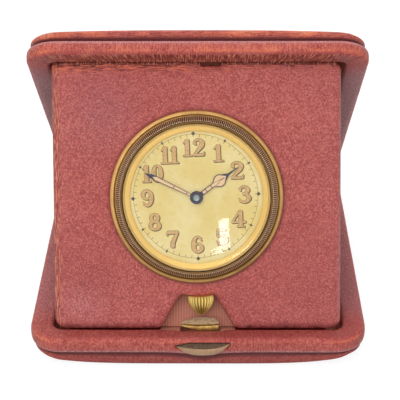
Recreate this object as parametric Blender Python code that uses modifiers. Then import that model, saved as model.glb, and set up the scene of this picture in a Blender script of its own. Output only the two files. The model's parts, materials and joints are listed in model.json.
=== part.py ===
"""Folding travel clock in a padded leather case, standing open.

Two padded covers are hinged along the back. A leather board that carries an eight day clock hangs from
the upper cover's front edge, and its foot stands in the front of the lower cover, so that the three form
a triangle. Metres, +Z up, +Y away from the viewer, origin on the table under the lower cover's middle.
"""

import math

import bmesh
import bpy
from mathutils import Matrix, Vector

# Fits between pieces
GAP = 0.0003                    # between pieces that touch
RUNNING_FIT = 0.00006           # radial clearance of a shaft in its hole
WELD = 0.000001                 # points nearer than this are one point
CUT_OVERRUN = 0.0010            # how far a cutter passes the face that it cuts

# Covers
COVER_WIDTH = 0.0880
COVER_REACH = 0.0920            # from the back hinge's axis to the front edge
BACK_INSET = 0.0016             # from the back hinge's axis to the back wall
OPEN_ANGLE = math.radians(46.8)
RIM_HEIGHT = 0.0042
LIP_WIDTH = 0.0046
RIM_ROUND = 0.0011
FRONT_CORNER = 0.0085
BACK_CORNER = 0.0060
HINGE_LIP_EXTRA = 0.0011        # how much wider the upper front lip is, where the board hangs
PAD_SEAM_INSET = 0.0012
LOWER_PAD_EDGE = 0.0042         # steep outer edge of the padding
UPPER_PAD_EDGE = 0.0027
PAD_ROUND = 0.0015
PAD_WALL = 0.0006               # padding over the tray's outer corner
PAD_FLAT_INSET = 0.0230
PAD_SOFTENING = 0.0150          # how much rounder the crown's corners are than the edge's
LINING_THICKNESS = 0.0005
LINING_WALL = 0.0005
TRAY_CLEARANCE = 0.0003

# Back hinge
HINGE_LENGTH = 0.0700
HINGE_KNUCKLES = 5
HINGE_BARREL = 0.0012
HINGE_PIN_RADIUS = 0.00055
HINGE_LEAF_THICKNESS = 0.0005
HINGE_LEAF_DROP = 0.0040
HINGE_PIN_HEAD = 0.0009
HINGE_HEAD_LENGTH = 0.0006

# Board that carries the clock
BOARD_WIDTH = 0.0745
BOARD_BEAD = 0.0010             # radius of the folded edge on the hinge line
BOARD_AXIS_DEPTH = 0.0002       # hinge line below the upper cover's mouth
BOARD_MARGIN = 0.0032           # sloping edge of the padded face
BOARD_CORNER = 0.0028
BOARD_TOP_DROP = 0.0004
FOOT_DIP = 0.0003               # foot below the lower cover's mouth
BACKING_THICKNESS = 0.0010
BACKING_INSET = 0.0008
BACKING_FOOT_INSET = 0.0004
STRIP_THICKNESS = 0.0005
STRIP_SIDE_CLEARANCE = 0.0007
STRIP_FROM = math.radians(-8.0)
STRIP_TO = math.radians(82.0)
FOOT_REST_END = 0.0058         # from the lip's inner edge to the step's outer end
FOOT_REST_DEPTH = 0.0044
FOOT_REST_HEEL = 0.0005

# Notch in the board's foot
NOTCH_HEIGHT = 0.0090
NOTCH_TOP_WIDTH = 0.0090
NOTCH_FOOT_WIDTH = 0.0196
NOTCH_TOP_ROUND = 0.0016
NOTCH_FOOT_ROUND = 0.0024

# Catch
CATCH_X = 0.0006
HOOK_WIDTH = 0.0098
HOOK_DEPTH = 0.0029
HOOK_RISE = 0.0015
HOOK_BOW = 0.0011
HOOK_GROOVE = 0.0003
HOOK_NOSE = 0.0007
HOOK_GROOVE_DEPTH = 0.0004
BUTTON_X = 0.0014
BUTTON_WIDTH = 0.0137
BUTTON_BULGE = 0.0025
BUTTON_HEIGHT = 0.0023
BUTTON_DROP = 0.0013
BUTTON_ROOT = 0.0010
BUTTON_TRAVEL = 0.0010
SLIDER_WIDTH = 0.0076
SLIDER_HEIGHT = 0.0011
SPRING_THICKNESS = 0.0002
SPRING_LENGTH = 0.0110
SPRING_HEIGHT = 0.0004
SPRING_BOW = 0.0001
KEEPER_X = 0.0012
KEEPER_WIDTH = 0.0116
KEEPER_DEPTH = 0.0030
KEEPER_SLOT = 0.0016
KEEPER_THICKNESS = 0.0004

# Clock in the board
CLOCK_SHIFT = -0.00025          # clock's centre from the board's middle line
CLOCK_TURN = math.radians(2.3)
CASE_RADIUS = 0.0193
CASE_WALL = 0.0006
CASE_DEPTH = 0.0070             # from the board's face to the back of the case wall
CASE_BACK_THICKNESS = 0.0006
BEZEL_FLANGE = 0.0031           # how far the bezel reaches past the case
BEZEL_HEIGHT = 0.0032
BEZEL_LEDGE = 0.00015           # how far it reaches inside the case
BEZEL_RING_WIDTH = 0.0013
BEZEL_FOOT_HEIGHT = 0.0006
BEZEL_NECK = 0.0004
MILLED_TEETH = 72
MILLED_RING_WIDTH = 0.0009
MILLED_TOOTH = 0.00022
MILLED_SLOPE = 0.0006
DIAL_LIFT = 0.0015              # dial face above the board's face
DIAL_THICKNESS = 0.0004
DIAL_COVERED = 0.0013           # edge of the dial under its sloping ring
DIAL_RING_HEIGHT = 0.00115
DIAL_RING_FLAT = 0.00035
DIAL_RING_EDGE = 0.00015
DIAL_HOLE = 0.0016
CRYSTAL_THICKNESS = 0.0007
CRYSTAL_EDGE = 0.0006
CRYSTAL_RISE = 0.0024

# Movement
PLATE_LIFT = 0.0006             # main plate's front below the board's face
PLATE_THICKNESS = 0.0018
PLATE_RIM_WIDTH = 0.0010
BRIDGE_THICKNESS = 0.0005
BRIDGE_INSET = 0.0012
PILLAR_RADIUS = 0.0010
PILLAR_INSET = 0.0022
PIVOT_RADIUS = 0.00025
ARBOR_RADIUS = 0.00045
WHEEL_THICKNESS = 0.0003
TIP_CLEARANCE = 0.0001
BARREL_HEIGHT = 0.0024
BARREL_STEP = 0.0005
BALANCE_RIM = 0.0006
BALANCE_ARM = 0.0006
STAFF_RADIUS = 0.0003

# Motion work behind the dial
MOTION_DISTANCE = 0.0050        # centre to the minute wheel's stud
CANNON_LEAVES = 12
MINUTE_WHEEL_TEETH = 36
MINUTE_PINION_LEAVES = 10
HOUR_WHEEL_TEETH = 40
MESH_DEPTH = 0.00022            # how far meshing teeth reach past each other
TOOTH_HEIGHT = 0.00034
CANNON_BORE = 0.0005
CANNON_WALL = 0.00028
CANNON_LEAF_HEIGHT = 0.00050
HOUR_TUBE_WALL = 0.0003
MOTION_WHEEL_THICKNESS = 0.0003
LEVEL_GAP = 0.00015
STUD_RADIUS = 0.0003

# Hands
HAND_THICKNESS = 0.0002
HOUR_HAND_LIFT = 0.00035        # above the dial
MINUTE_HAND_LIFT = 0.00105
HOUR_TIP_CLEARANCE = 0.0040
HOUR_BOSS = 0.0017
MINUTE_TIP_CLEARANCE = 0.0026   # from the dial ring to the hands' tips
MINUTE_BOSS = 0.0015
CANNON_CAP = 0.0003
HAND_FRAME = 0.00016            # width of the metal round a hand's opening
MINUTE_NECK = 0.0004            # half widths
MINUTE_BROAD = 0.00062
HOUR_NECK = 0.00055
HOUR_LOBE = 0.00165

# Winding
STEM_DEPTH = 0.0012             # stem's axis below the board's face
STEM_RADIUS = 0.00045
STEM_TAIL = 0.0018              # stem past the winding pinion
STEM_SQUARE_SHARE = 0.8
CROWN_PROFILE_SHARES = [        # shares of the crown's radius and of its length
    (0.86, 0.0),
    (1.0, 0.12),
    (0.97, 0.30),
    (0.80, 0.55),
    (0.58, 0.80),
    (0.40, 0.97),
    (0.25, 1.0),
]
CROWN_RADIUS = 0.00345
CROWN_CLEARANCE = 0.0037        # from the bezel to the crown
CROWN_TIP_RISE = 0.00373        # crown's tip above the board's foot
CROWN_LENGTH = 0.0049
CROWN_FLUTES = 26
CROWN_FLUTE_DEPTH = 0.00022
CROWN_PULL = 0.0007
PINION_RADIUS = 0.0014
PINION_LENGTH = 0.0012
PINION_INSET = 0.0048           # winding pinion inside the main plate's edge
PINION_TEETH = 14
STEM_TUBE_WALL = 0.0003

# Counts and places that aren't lengths
CORNER_STEPS = 4
PAD_STEPS = 5
TURN_STEPS = 40
SMALL_STEPS = 14
BARREL_TEETH = 60
CENTRE_TEETH = 48
THIRD_TEETH = 48
FOURTH_TEETH = 42
ESCAPE_TEETH = 15
RATCHET_TEETH = 30
PINION_LEAVES = 6
BARREL_PINION_LEAVES = 10
BARREL_BEARING = math.radians(200.0)
THIRD_BEARING = math.radians(80.0)
FOURTH_BEARING = math.radians(10.0)
ESCAPE_BEARING = math.radians(-60.0)
FORK_BEARING = math.radians(-80.0)
BALANCE_BEARING = math.radians(-100.0)
MOTION_BEARING = math.radians(-40.0)
PILLAR_BEARINGS = [math.radians(a) for a in (118.0, 62.0, -52.0)]
MINUTE_AT = math.radians(297.9)  # clockwise from twelve
HOUR_AT = math.radians(56.0)

# Sizes of the train as shares of the main plate's radius
PINION_ROOT_SHARE = 0.7
TRAIN_SHARES = {
    "centre wheel": 0.2935,
    "centre pinion": 0.0598,
    "barrel": 0.413,
    "ratchet wheel": 0.1739,
    "third wheel": 0.25,
    "third pinion": 0.0435,
    "fourth wheel": 0.2283,
    "fourth pinion": 0.038,
    "escape wheel": 0.1413,
    "escape pinion": 0.0326,
    "fork length": 0.25,
    "fork span": 0.0924,
    "fork to escape wheel": 0.1848,
    "balance": 0.212,
}

# Colour, roughness and metallic share of each material
MATERIALS = {
    "red_leather": ((0.42, 0.085, 0.075), 0.55, 0.0),
    "red_lining": ((0.33, 0.10, 0.08), 0.8, 0.0),
    "brass": ((0.66, 0.45, 0.16), 0.3, 1.0),
    "gilt_brass": ((0.80, 0.56, 0.20), 0.25, 1.0),
    "dark_brass": ((0.30, 0.20, 0.09), 0.4, 1.0),
    "steel": ((0.55, 0.56, 0.58), 0.3, 1.0),
    "blue_steel": ((0.03, 0.04, 0.12), 0.3, 1.0),
    "dial_gilt": ((0.74, 0.60, 0.28), 0.5, 0.3),
    "crystal_glass": ((0.95, 0.96, 0.96), 0.05, 0.0),
}

# Derived places of the folded case
LIP_FRONT = COVER_REACH - LIP_WIDTH
KEEPER_WALL = LIP_FRONT - HINGE_LIP_EXTRA + KEEPER_SLOT
BOARD_AXIS_REACH = LIP_FRONT - HINGE_LIP_EXTRA - GAP - STRIP_THICKNESS - GAP - BOARD_BEAD
AXIS_Y = -BOARD_AXIS_REACH * math.cos(OPEN_ANGLE) + BOARD_AXIS_DEPTH * math.sin(OPEN_ANGLE)
AXIS_Z = BOARD_AXIS_REACH * math.sin(OPEN_ANGLE) + BOARD_AXIS_DEPTH * math.cos(OPEN_ANGLE)
FOOT_Y = -(LIP_FRONT - GAP)
FOOT_REACH = math.hypot(AXIS_Y - FOOT_Y, AXIS_Z + FOOT_DIP)
BOARD_LENGTH = math.sqrt(FOOT_REACH ** 2 - BOARD_BEAD ** 2)
BOARD_LEAN = math.atan2(AXIS_Y - FOOT_Y, AXIS_Z + FOOT_DIP) - math.asin(BOARD_BEAD / FOOT_REACH)
STEM_LEVEL = BOARD_BEAD - STEM_DEPTH
BACKING_FRONT = STEM_LEVEL - CROWN_RADIUS - GAP
BOARD_BACK = BACKING_FRONT + GAP
BACKING_BACK = BACKING_FRONT - BACKING_THICKNESS
CASE_BACK_LEVEL = BOARD_BEAD - CASE_DEPTH - GAP - CASE_BACK_THICKNESS
SWING_DIP = math.hypot(BOARD_LENGTH, BACKING_BACK) - AXIS_Z
TRAY_DEPTH = max(SWING_DIP, BOARD_AXIS_DEPTH - CASE_BACK_LEVEL) + TRAY_CLEARANCE
CAVITY_DEPTH = TRAY_DEPTH + LINING_THICKNESS + GAP
PAD_TOP = RIM_HEIGHT + GAP
PAD_TURN_INSET = PAD_SEAM_INSET + PAD_ROUND / 2
CAVITY_INSET = LIP_WIDTH + GAP * 2
CAVITY_SHARE = (CAVITY_INSET - PAD_TURN_INSET) / (PAD_FLAT_INSET - PAD_TURN_INSET)
CROWN_SHARE = 1 - (1 - CAVITY_SHARE) ** 2
LOWER_PAD_CROWN = (CAVITY_DEPTH + PAD_WALL - PAD_TOP - LOWER_PAD_EDGE) / CROWN_SHARE
UPPER_PAD_CROWN = (CAVITY_DEPTH + PAD_WALL - PAD_TOP - UPPER_PAD_EDGE) / CROWN_SHARE
COVER_DEPTH = PAD_TOP + LOWER_PAD_EDGE + LOWER_PAD_CROWN
COVER_MIDDLE = (COVER_REACH + BACK_INSET) / 2

# Derived sizes of the clock
BEZEL_RADIUS = CASE_RADIUS + BEZEL_FLANGE
BEZEL_BORE = CASE_RADIUS - BEZEL_LEDGE
PLATE_RADIUS = CASE_RADIUS - CASE_WALL - GAP
DIAL_RADIUS = PLATE_RADIUS
DIAL_OPENING = DIAL_RADIUS - DIAL_COVERED
BRIDGE_RADIUS = PLATE_RADIUS - BRIDGE_INSET
PILLAR_CIRCLE = PLATE_RADIUS - PILLAR_INSET
CENTRE_WHEEL_RADIUS = PLATE_RADIUS * TRAIN_SHARES["centre wheel"]
CENTRE_PINION_RADIUS = PLATE_RADIUS * TRAIN_SHARES["centre pinion"]
BARREL_RADIUS = PLATE_RADIUS * TRAIN_SHARES["barrel"]
RATCHET_RADIUS = PLATE_RADIUS * TRAIN_SHARES["ratchet wheel"]
THIRD_WHEEL_RADIUS = PLATE_RADIUS * TRAIN_SHARES["third wheel"]
THIRD_PINION_RADIUS = PLATE_RADIUS * TRAIN_SHARES["third pinion"]
FOURTH_WHEEL_RADIUS = PLATE_RADIUS * TRAIN_SHARES["fourth wheel"]
FOURTH_PINION_RADIUS = PLATE_RADIUS * TRAIN_SHARES["fourth pinion"]
ESCAPE_WHEEL_RADIUS = PLATE_RADIUS * TRAIN_SHARES["escape wheel"]
ESCAPE_PINION_RADIUS = PLATE_RADIUS * TRAIN_SHARES["escape pinion"]
FORK_LENGTH = PLATE_RADIUS * TRAIN_SHARES["fork length"]
FORK_SPAN = PLATE_RADIUS * TRAIN_SHARES["fork span"]
FORK_REACH = PLATE_RADIUS * TRAIN_SHARES["fork to escape wheel"]
BALANCE_RADIUS = PLATE_RADIUS * TRAIN_SHARES["balance"]
MINUTE_HAND_REACH = DIAL_OPENING - MINUTE_TIP_CLEARANCE
HOUR_HAND_REACH = DIAL_OPENING - HOUR_TIP_CLEARANCE
CROWN_START = BEZEL_RADIUS + CROWN_CLEARANCE
CROWN_REACH = CROWN_START + CROWN_LENGTH
PINION_START = PLATE_RADIUS - PINION_INSET
STEM_INNER_REACH = PINION_START - STEM_TAIL
CLOCK_DROP = BOARD_LENGTH - CROWN_TIP_RISE - CROWN_REACH

# Derived levels, from the hinge line's level upward along the board's normal
BOARD_FACE = BOARD_BEAD
DIAL_FACE = BOARD_FACE + DIAL_LIFT
DIAL_BACK = DIAL_FACE - DIAL_THICKNESS
BEZEL_BASE = BOARD_FACE + GAP
BEZEL_TOP = BEZEL_BASE + BEZEL_HEIGHT
PLATE_FRONT = BOARD_FACE - PLATE_LIFT
PLATE_BACK = PLATE_FRONT - PLATE_THICKNESS
CASE_FLOOR = CASE_BACK_LEVEL + CASE_BACK_THICKNESS + GAP
BRIDGE_FRONT = CASE_FLOOR + GAP + BRIDGE_THICKNESS

parts = None
cutters = None
materials = {}


def clear_scene():
    """Empty the scene and make the two collections."""
    global parts, cutters
    for old in list(bpy.data.objects):
        bpy.data.objects.remove(old, do_unlink=True)
    parts = bpy.data.collections.new("travel_clock")
    cutters = bpy.data.collections.new("cutters")
    bpy.context.scene.collection.children.link(parts)
    bpy.context.scene.collection.children.link(cutters)


def material(name):
    """The Principled material of that name."""
    if name not in materials:
        colour, roughness, metallic = MATERIALS[name]
        made = bpy.data.materials.new(name)
        made.use_nodes = True
        shader = made.node_tree.nodes["Principled BSDF"]
        shader.inputs["Base Color"].default_value = (*colour, 1.0)
        shader.inputs["Roughness"].default_value = roughness
        shader.inputs["Metallic"].default_value = metallic
        made.diffuse_color = (*colour, 1.0)
        materials[name] = made
    return materials[name]


def frame(name, parent=None, place=(0, 0, 0), turn=None):
    """An empty that carries the pieces of one body."""
    empty = bpy.data.objects.new(name, None)
    parts.objects.link(empty)
    empty.parent = parent
    empty.matrix_local = Matrix.Translation(place) @ (turn or Matrix())
    return empty


def add(name, mesh, parent, finish, place=(0, 0, 0), turn=0.0, smooth=True):
    """A named piece from a mesh, under its body's empty."""
    piece = bpy.data.objects.new(name, mesh)
    parts.objects.link(piece)
    piece.parent = parent
    piece.matrix_local = Matrix.Translation(place) @ Matrix.Rotation(turn, 4, "Z")
    mesh.materials.clear()
    mesh.materials.append(material(finish))
    if smooth:
        mesh.shade_smooth()
        mesh.set_sharp_from_angle(angle=math.radians(35.0))
    return piece


def tool(name, mesh, parent, place=(0, 0, 0), turn=0.0):
    """A cutter, or a shape that is joined to a piece."""
    shape = bpy.data.objects.new(name, mesh)
    cutters.objects.link(shape)
    shape.parent = parent
    shape.matrix_local = Matrix.Translation(place) @ Matrix.Rotation(turn, 4, "Z")
    shape.hide_render = True
    shape.display_type = "WIRE"
    return shape


def combine(piece, shape, operation="DIFFERENCE"):
    """Cut a shape out of a piece, or join it on."""
    change = piece.modifiers.new(shape.name, "BOOLEAN")
    change.object = shape
    change.operation = operation
    change.solver = "EXACT"


def rings_mesh(name, rings, closed=False):
    """Loft through rings of equal counts, capped at both ends or closed on itself."""
    shape = bmesh.new()
    loops = [[shape.verts.new(point) for point in ring] for ring in rings]
    count = len(loops[0])
    pairs = list(zip(loops, loops[1:]))
    if closed:
        pairs.append((loops[-1], loops[0]))
    for low, high in pairs:
        for i in range(count):
            j = (i + 1) % count
            shape.faces.new((low[i], low[j], high[j], high[i]))
    if not closed:
        shape.faces.new(loops[0])
        shape.faces.new(loops[-1])
    bmesh.ops.recalc_face_normals(shape, faces=shape.faces)
    mesh = bpy.data.meshes.new(name)
    shape.to_mesh(mesh)
    shape.free()
    return mesh


def round_rectangle(box, corners, inset, height, soften=0.0):
    """A rectangle's ring with round corners, drawn in by inset and rounded further by soften.

    box is left, right, front and back, and corners are the front and back radii.
    """
    left, right, front, back = box
    places = [
        (left, front, corners[0], 180.0),
        (right, front, corners[0], 270.0),
        (right, back, corners[1], 0.0),
        (left, back, corners[1], 90.0),
    ]
    ring = []
    for x, y, corner, start in places:
        radius = max(corner - inset, corner / (2 * CORNER_STEPS)) + soften
        centre_x = x + (inset + radius) * (1 if x < 0 else -1)
        centre_y = y + (inset + radius) * (1 if y == front else -1)
        for step in range(CORNER_STEPS + 1):
            angle = math.radians(start + 90.0 * step / CORNER_STEPS)
            ring.append(
                Vector((centre_x + radius * math.cos(angle), centre_y + radius * math.sin(angle), height))
            )
    return ring


def turned_mesh(name, profile, steps=TURN_STEPS, closed=True):
    """A profile of (radius, height) turned round Z. An open profile starts and ends on the axis."""
    mesh = bpy.data.meshes.new(name)
    edges = [(i, i + 1) for i in range(len(profile) - 1)]
    if closed:
        edges.append((len(profile) - 1, 0))
    mesh.from_pydata([(radius, 0, height) for radius, height in profile], edges, [])
    holder = bpy.data.objects.new(name, mesh)
    cutters.objects.link(holder)
    turn = holder.modifiers.new("turn", "SCREW")
    turn.steps = steps
    turn.render_steps = steps
    turn.use_merge_vertices = True
    turn.merge_threshold = WELD
    bpy.context.view_layer.update()
    made = bpy.data.meshes.new_from_object(holder.evaluated_get(bpy.context.evaluated_depsgraph_get()))
    bpy.data.objects.remove(holder, do_unlink=True)
    shape = bmesh.new()
    shape.from_mesh(made)
    bmesh.ops.recalc_face_normals(shape, faces=shape.faces)
    shape.to_mesh(made)
    shape.free()
    return made


def plate_mesh(name, outlines, low, high):
    """Flat outlines, holes inside them included, as a plate from one height to another."""
    curve = bpy.data.curves.new(name, "CURVE")
    curve.dimensions = "2D"
    curve.fill_mode = "BOTH"
    curve.extrude = (high - low) / 2
    for outline in outlines:
        spline = curve.splines.new("POLY")
        spline.points.add(len(outline) - 1)
        for point, (x, y) in zip(spline.points, outline):
            point.co = (x, y, 0, 1)
        spline.use_cyclic_u = True
    holder = bpy.data.objects.new(name, curve)
    cutters.objects.link(holder)
    bpy.context.view_layer.update()
    made = bpy.data.meshes.new_from_object(holder.evaluated_get(bpy.context.evaluated_depsgraph_get()))
    bpy.data.objects.remove(holder, do_unlink=True)
    shape = bmesh.new()
    shape.from_mesh(made)
    bmesh.ops.remove_doubles(shape, verts=shape.verts, dist=WELD)
    bmesh.ops.translate(shape, verts=shape.verts, vec=(0, 0, (high + low) / 2))
    bmesh.ops.recalc_face_normals(shape, faces=shape.faces)
    shape.to_mesh(made)
    shape.free()
    return made


def cylinder_mesh(name, radius, low, high, steps=SMALL_STEPS, top_radius=None, axis="Z"):
    """A cylinder or cone between two heights along an axis."""
    shape = bmesh.new()
    bmesh.ops.create_cone(
        shape,
        cap_ends=True,
        segments=steps,
        radius1=radius,
        radius2=radius if top_radius is None else top_radius,
        depth=high - low,
        matrix=Matrix.Translation((0, 0, (low + high) / 2)),
    )
    if axis == "X":
        bmesh.ops.rotate(shape, verts=shape.verts, matrix=Matrix.Rotation(math.radians(90.0), 3, "Y"))
    if axis == "Y":
        bmesh.ops.rotate(shape, verts=shape.verts, matrix=Matrix.Rotation(math.radians(-90.0), 3, "X"))
    mesh = bpy.data.meshes.new(name)
    shape.to_mesh(mesh)
    shape.free()
    return mesh


def box_mesh(name, low, high):
    """A box between two corners."""
    shape = bmesh.new()
    size = [b - a for a, b in zip(low, high)]
    middle = [(a + b) / 2 for a, b in zip(low, high)]
    bmesh.ops.create_cube(
        shape, size=1.0, matrix=Matrix.Translation(middle) @ Matrix.Diagonal((*size, 1.0))
    )
    mesh = bpy.data.meshes.new(name)
    shape.to_mesh(mesh)
    shape.free()
    return mesh


def circle(radius, steps, centre=(0, 0), start=0.0):
    """Points round a circle."""
    return [
        (
            centre[0] + radius * math.cos(start + math.tau * i / steps),
            centre[1] + radius * math.sin(start + math.tau * i / steps),
        )
        for i in range(steps)
    ]


def arc(centre, radius, start, end, steps):
    """Points along an arc, ends included."""
    return [
        (
            centre[0] + radius * math.cos(start + (end - start) * i / steps),
            centre[1] + radius * math.sin(start + (end - start) * i / steps),
        )
        for i in range(steps + 1)
    ]


def teeth(count, root, tip, root_share=0.36, tip_share=0.16, start=0.0, lean=0.0):
    """A toothed outline. The shares are of one pitch, and the first tooth points along start."""
    outline = []
    pitch = math.tau / count
    for i in range(count):
        middle = start + pitch * i
        flank = ((root, -root_share), (tip, lean - tip_share), (tip, lean + tip_share), (root, root_share))
        for radius, share in flank:
            angle = middle + pitch * share / 2
            outline.append((radius * math.cos(angle), radius * math.sin(angle)))
    return outline


def saw_teeth(count, root, tip, start=0.0):
    """A fine toothed outline with one point a tooth and one a gap."""
    outline = []
    for i in range(count):
        for radius, share in ((tip, 0.0), (root, 0.5)):
            angle = start + math.tau * (i + share) / count
            outline.append((radius * math.cos(angle), radius * math.sin(angle)))
    return outline


def polar(distance, bearing, origin=(0, 0)):
    """A place at a distance and bearing from another."""
    return (origin[0] + distance * math.cos(bearing), origin[1] + distance * math.sin(bearing))


def cover_box():
    """Left, right, front and back of a cover in its own frame, with the hinge axis at Y zero."""
    return (-COVER_WIDTH / 2, COVER_WIDTH / 2, -COVER_REACH, -BACK_INSET)


def cover_rings(steps):
    """Rings of a cover's plan at an inset, a height and, where a third value follows, a softer corner."""
    return [round_rectangle(cover_box(), (FRONT_CORNER, BACK_CORNER), *step) for step in steps]


def rim_mesh(name, front_extra=0.0):
    """The leather rim: outer wall, rounded edge and lip, with its mouth at height zero."""
    turn = RIM_ROUND / 3
    section = [
        (LIP_WIDTH, -RIM_HEIGHT),
        (turn, -RIM_HEIGHT),
        (0, turn - RIM_HEIGHT),
        (0, -RIM_ROUND),
        (turn, -turn),
        (RIM_ROUND, 0),
        (LIP_WIDTH - RIM_ROUND / 2, 0),
        (LIP_WIDTH, -RIM_ROUND / 2),
    ]
    rings = cover_rings(section)
    for i in (0, 6, 7):
        for point in rings[i]:
            if point.y < (rings[i][0].y - COVER_REACH) / 4:
                point.y += front_extra
    return rings_mesh(name, rings, closed=True)


def pad_mesh(name, edge, crown):
    """The padded outside of a cover, crowned, with a flat middle and the tray's hollow."""
    section = [(CAVITY_INSET, -CAVITY_DEPTH), (CAVITY_INSET, -PAD_TOP), (PAD_SEAM_INSET + GAP, -PAD_TOP)]
    section.append((PAD_SEAM_INSET, -PAD_TOP - GAP))
    bend = -PAD_TOP - edge + PAD_ROUND
    for angle in (math.radians(0.0), math.radians(30.0)):
        inset = PAD_SEAM_INSET + PAD_ROUND * (1 - math.cos(angle))
        section.append((inset, bend - PAD_ROUND * math.sin(angle)))
    for step in range(PAD_STEPS + 1):
        share = step / PAD_STEPS
        section.append(
            (
                PAD_TURN_INSET + (PAD_FLAT_INSET - PAD_TURN_INSET) * share,
                -PAD_TOP - edge - crown * (1 - (1 - share) ** 2),
                PAD_SOFTENING * share,
            )
        )
    return rings_mesh(name, cover_rings(section))


def lining_mesh(name):
    """The tray's lining: a floor and low walls."""
    outer = LIP_WIDTH + GAP * 3
    inner = outer + LINING_WALL
    top = PAD_TOP + GAP
    section = [
        (inner, -TRAY_DEPTH),
        (inner, -top),
        (outer, -top),
        (outer, -TRAY_DEPTH - LINING_THICKNESS),
    ]
    return rings_mesh(name, cover_rings(section))


def hinge_leaf(name, body, first):
    """One leaf of the back hinge, with every second knuckle."""
    step = HINGE_LENGTH / HINGE_KNUCKLES
    back = -BACK_INSET + GAP
    front_face = back + HINGE_LEAF_THICKNESS
    leaf = add(
        name,
        box_mesh(
            name,
            (-HINGE_LENGTH / 2, back, -HINGE_LEAF_DROP),
            (HINGE_LENGTH / 2, front_face, -HINGE_BARREL - GAP),
        ),
        body,
        "brass",
        smooth=False,
    )
    for index in range(first, HINGE_KNUCKLES, 2):
        low = -HINGE_LENGTH / 2 + step * index + (GAP / 2 if index else 0)
        high = -HINGE_LENGTH / 2 + step * (index + 1) - (GAP / 2 if index < HINGE_KNUCKLES - 1 else 0)
        web = box_mesh(f"{name}_web", (low, back, -HINGE_BARREL - GAP * 2), (high, front_face, 0))
        combine(leaf, tool(f"{name}_web_{index}", web, body), "UNION")
        barrel = cylinder_mesh(f"{name}_barrel", HINGE_BARREL, low, high, axis="X")
        combine(leaf, tool(f"{name}_barrel_{index}", barrel, body), "UNION")
    bore = cylinder_mesh(
        f"{name}_bore",
        (HINGE_PIN_RADIUS + RUNNING_FIT) / math.cos(math.pi / SMALL_STEPS),
        -HINGE_LENGTH / 2 - CUT_OVERRUN,
        HINGE_LENGTH / 2 + CUT_OVERRUN,
        axis="X",
    )
    combine(leaf, tool(f"{name}_bore", bore, body))


def hinge_pin(body):
    """The back hinge's pin with its two heads."""
    end = HINGE_LENGTH / 2 + GAP
    profile = [
        (0, end + HINGE_HEAD_LENGTH),
        (HINGE_PIN_HEAD, end + HINGE_HEAD_LENGTH),
        (HINGE_PIN_HEAD, end),
        (HINGE_PIN_RADIUS, end),
        (HINGE_PIN_RADIUS, -end),
        (HINGE_PIN_HEAD, -end),
        (HINGE_PIN_HEAD, -end - HINGE_HEAD_LENGTH),
        (0, -end - HINGE_HEAD_LENGTH),
    ]
    mesh = turned_mesh("hinge_pin", profile, SMALL_STEPS, closed=False)
    mesh.transform(Matrix.Rotation(math.radians(90.0), 4, "Y"))
    add("hinge_pin", mesh, body, "brass")


def board_box():
    """Left, right, foot and top of the clock's board in its own frame, hinge line at Y zero."""
    return (-BOARD_WIDTH / 2, BOARD_WIDTH / 2, -BOARD_LENGTH, -BOARD_TOP_DROP)


def notch_outline():
    """The notch in the board's foot, with a round top and flared, rounded foot corners."""
    foot = -BOARD_LENGTH
    top = foot + NOTCH_HEIGHT
    half_top = NOTCH_TOP_WIDTH / 2
    half_foot = NOTCH_FOOT_WIDTH / 2
    side = math.atan2(NOTCH_HEIGHT, half_foot - half_top)
    flare = NOTCH_FOOT_ROUND * math.tan(side / 2)
    right = arc(
        (half_foot + flare, foot + NOTCH_FOOT_ROUND),
        NOTCH_FOOT_ROUND,
        math.radians(-90.0),
        math.radians(-90.0) - side,
        4,
    )
    crown_inset = NOTCH_TOP_ROUND * math.tan(side / 2)
    right += arc(
        (half_top - crown_inset, top - NOTCH_TOP_ROUND),
        NOTCH_TOP_ROUND,
        math.radians(90.0) - side,
        math.radians(90.0),
        4,
    )
    right.insert(0, (half_foot + flare, foot - CUT_OVERRUN))
    left = [(-x, y) for x, y in reversed(right)]
    return right + left


def clock_board(body):
    """The leather board, its folded top edge, the clock's hole, the crown's notch and the catch's relief."""
    corners = (BOARD_CORNER, BOARD_TOP_DROP * 2)
    edge = BOARD_MARGIN / 12
    section = [
        (edge * 2, BOARD_BACK),
        (0, BOARD_BACK + edge * 2),
        (0, -BOARD_BEAD * 0.6),
        (edge, BOARD_BEAD * 0.15),
        (BOARD_MARGIN * 0.35, BOARD_BEAD * 0.7),
        (BOARD_MARGIN, BOARD_BEAD),
    ]
    rings = [round_rectangle(board_box(), corners, inset, height) for inset, height in section]
    board = add("clock_board", rings_mesh("clock_board", rings), body, "red_leather")
    half = BOARD_WIDTH / 2 - STRIP_SIDE_CLEARANCE
    fold = cylinder_mesh("board_fold", BOARD_BEAD, -half, half, 16, axis="X")
    combine(board, tool("board_fold", fold, body), "UNION")
    hole = cylinder_mesh(
        "board_hole", CASE_RADIUS + GAP, BOARD_BACK - CUT_OVERRUN, BOARD_FACE + CUT_OVERRUN, TURN_STEPS
    )
    combine(board, tool("board_hole", hole, body, (CLOCK_SHIFT, -CLOCK_DROP, 0)))
    notch = plate_mesh("board_notch", [notch_outline()], BOARD_BACK - CUT_OVERRUN, BOARD_FACE + CUT_OVERRUN)
    combine(board, tool("board_notch", notch, body))
    relief = box_mesh(
        "board_relief",
        (-KEEPER_WIDTH / 2, -BOARD_BEAD * 0.4, BOARD_BACK - CUT_OVERRUN),
        (KEEPER_WIDTH / 2, BOARD_BEAD + CUT_OVERRUN, BOARD_FACE + CUT_OVERRUN),
    )
    combine(board, tool("board_relief", relief, body, (KEEPER_X, 0, 0)))
    return board


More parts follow.
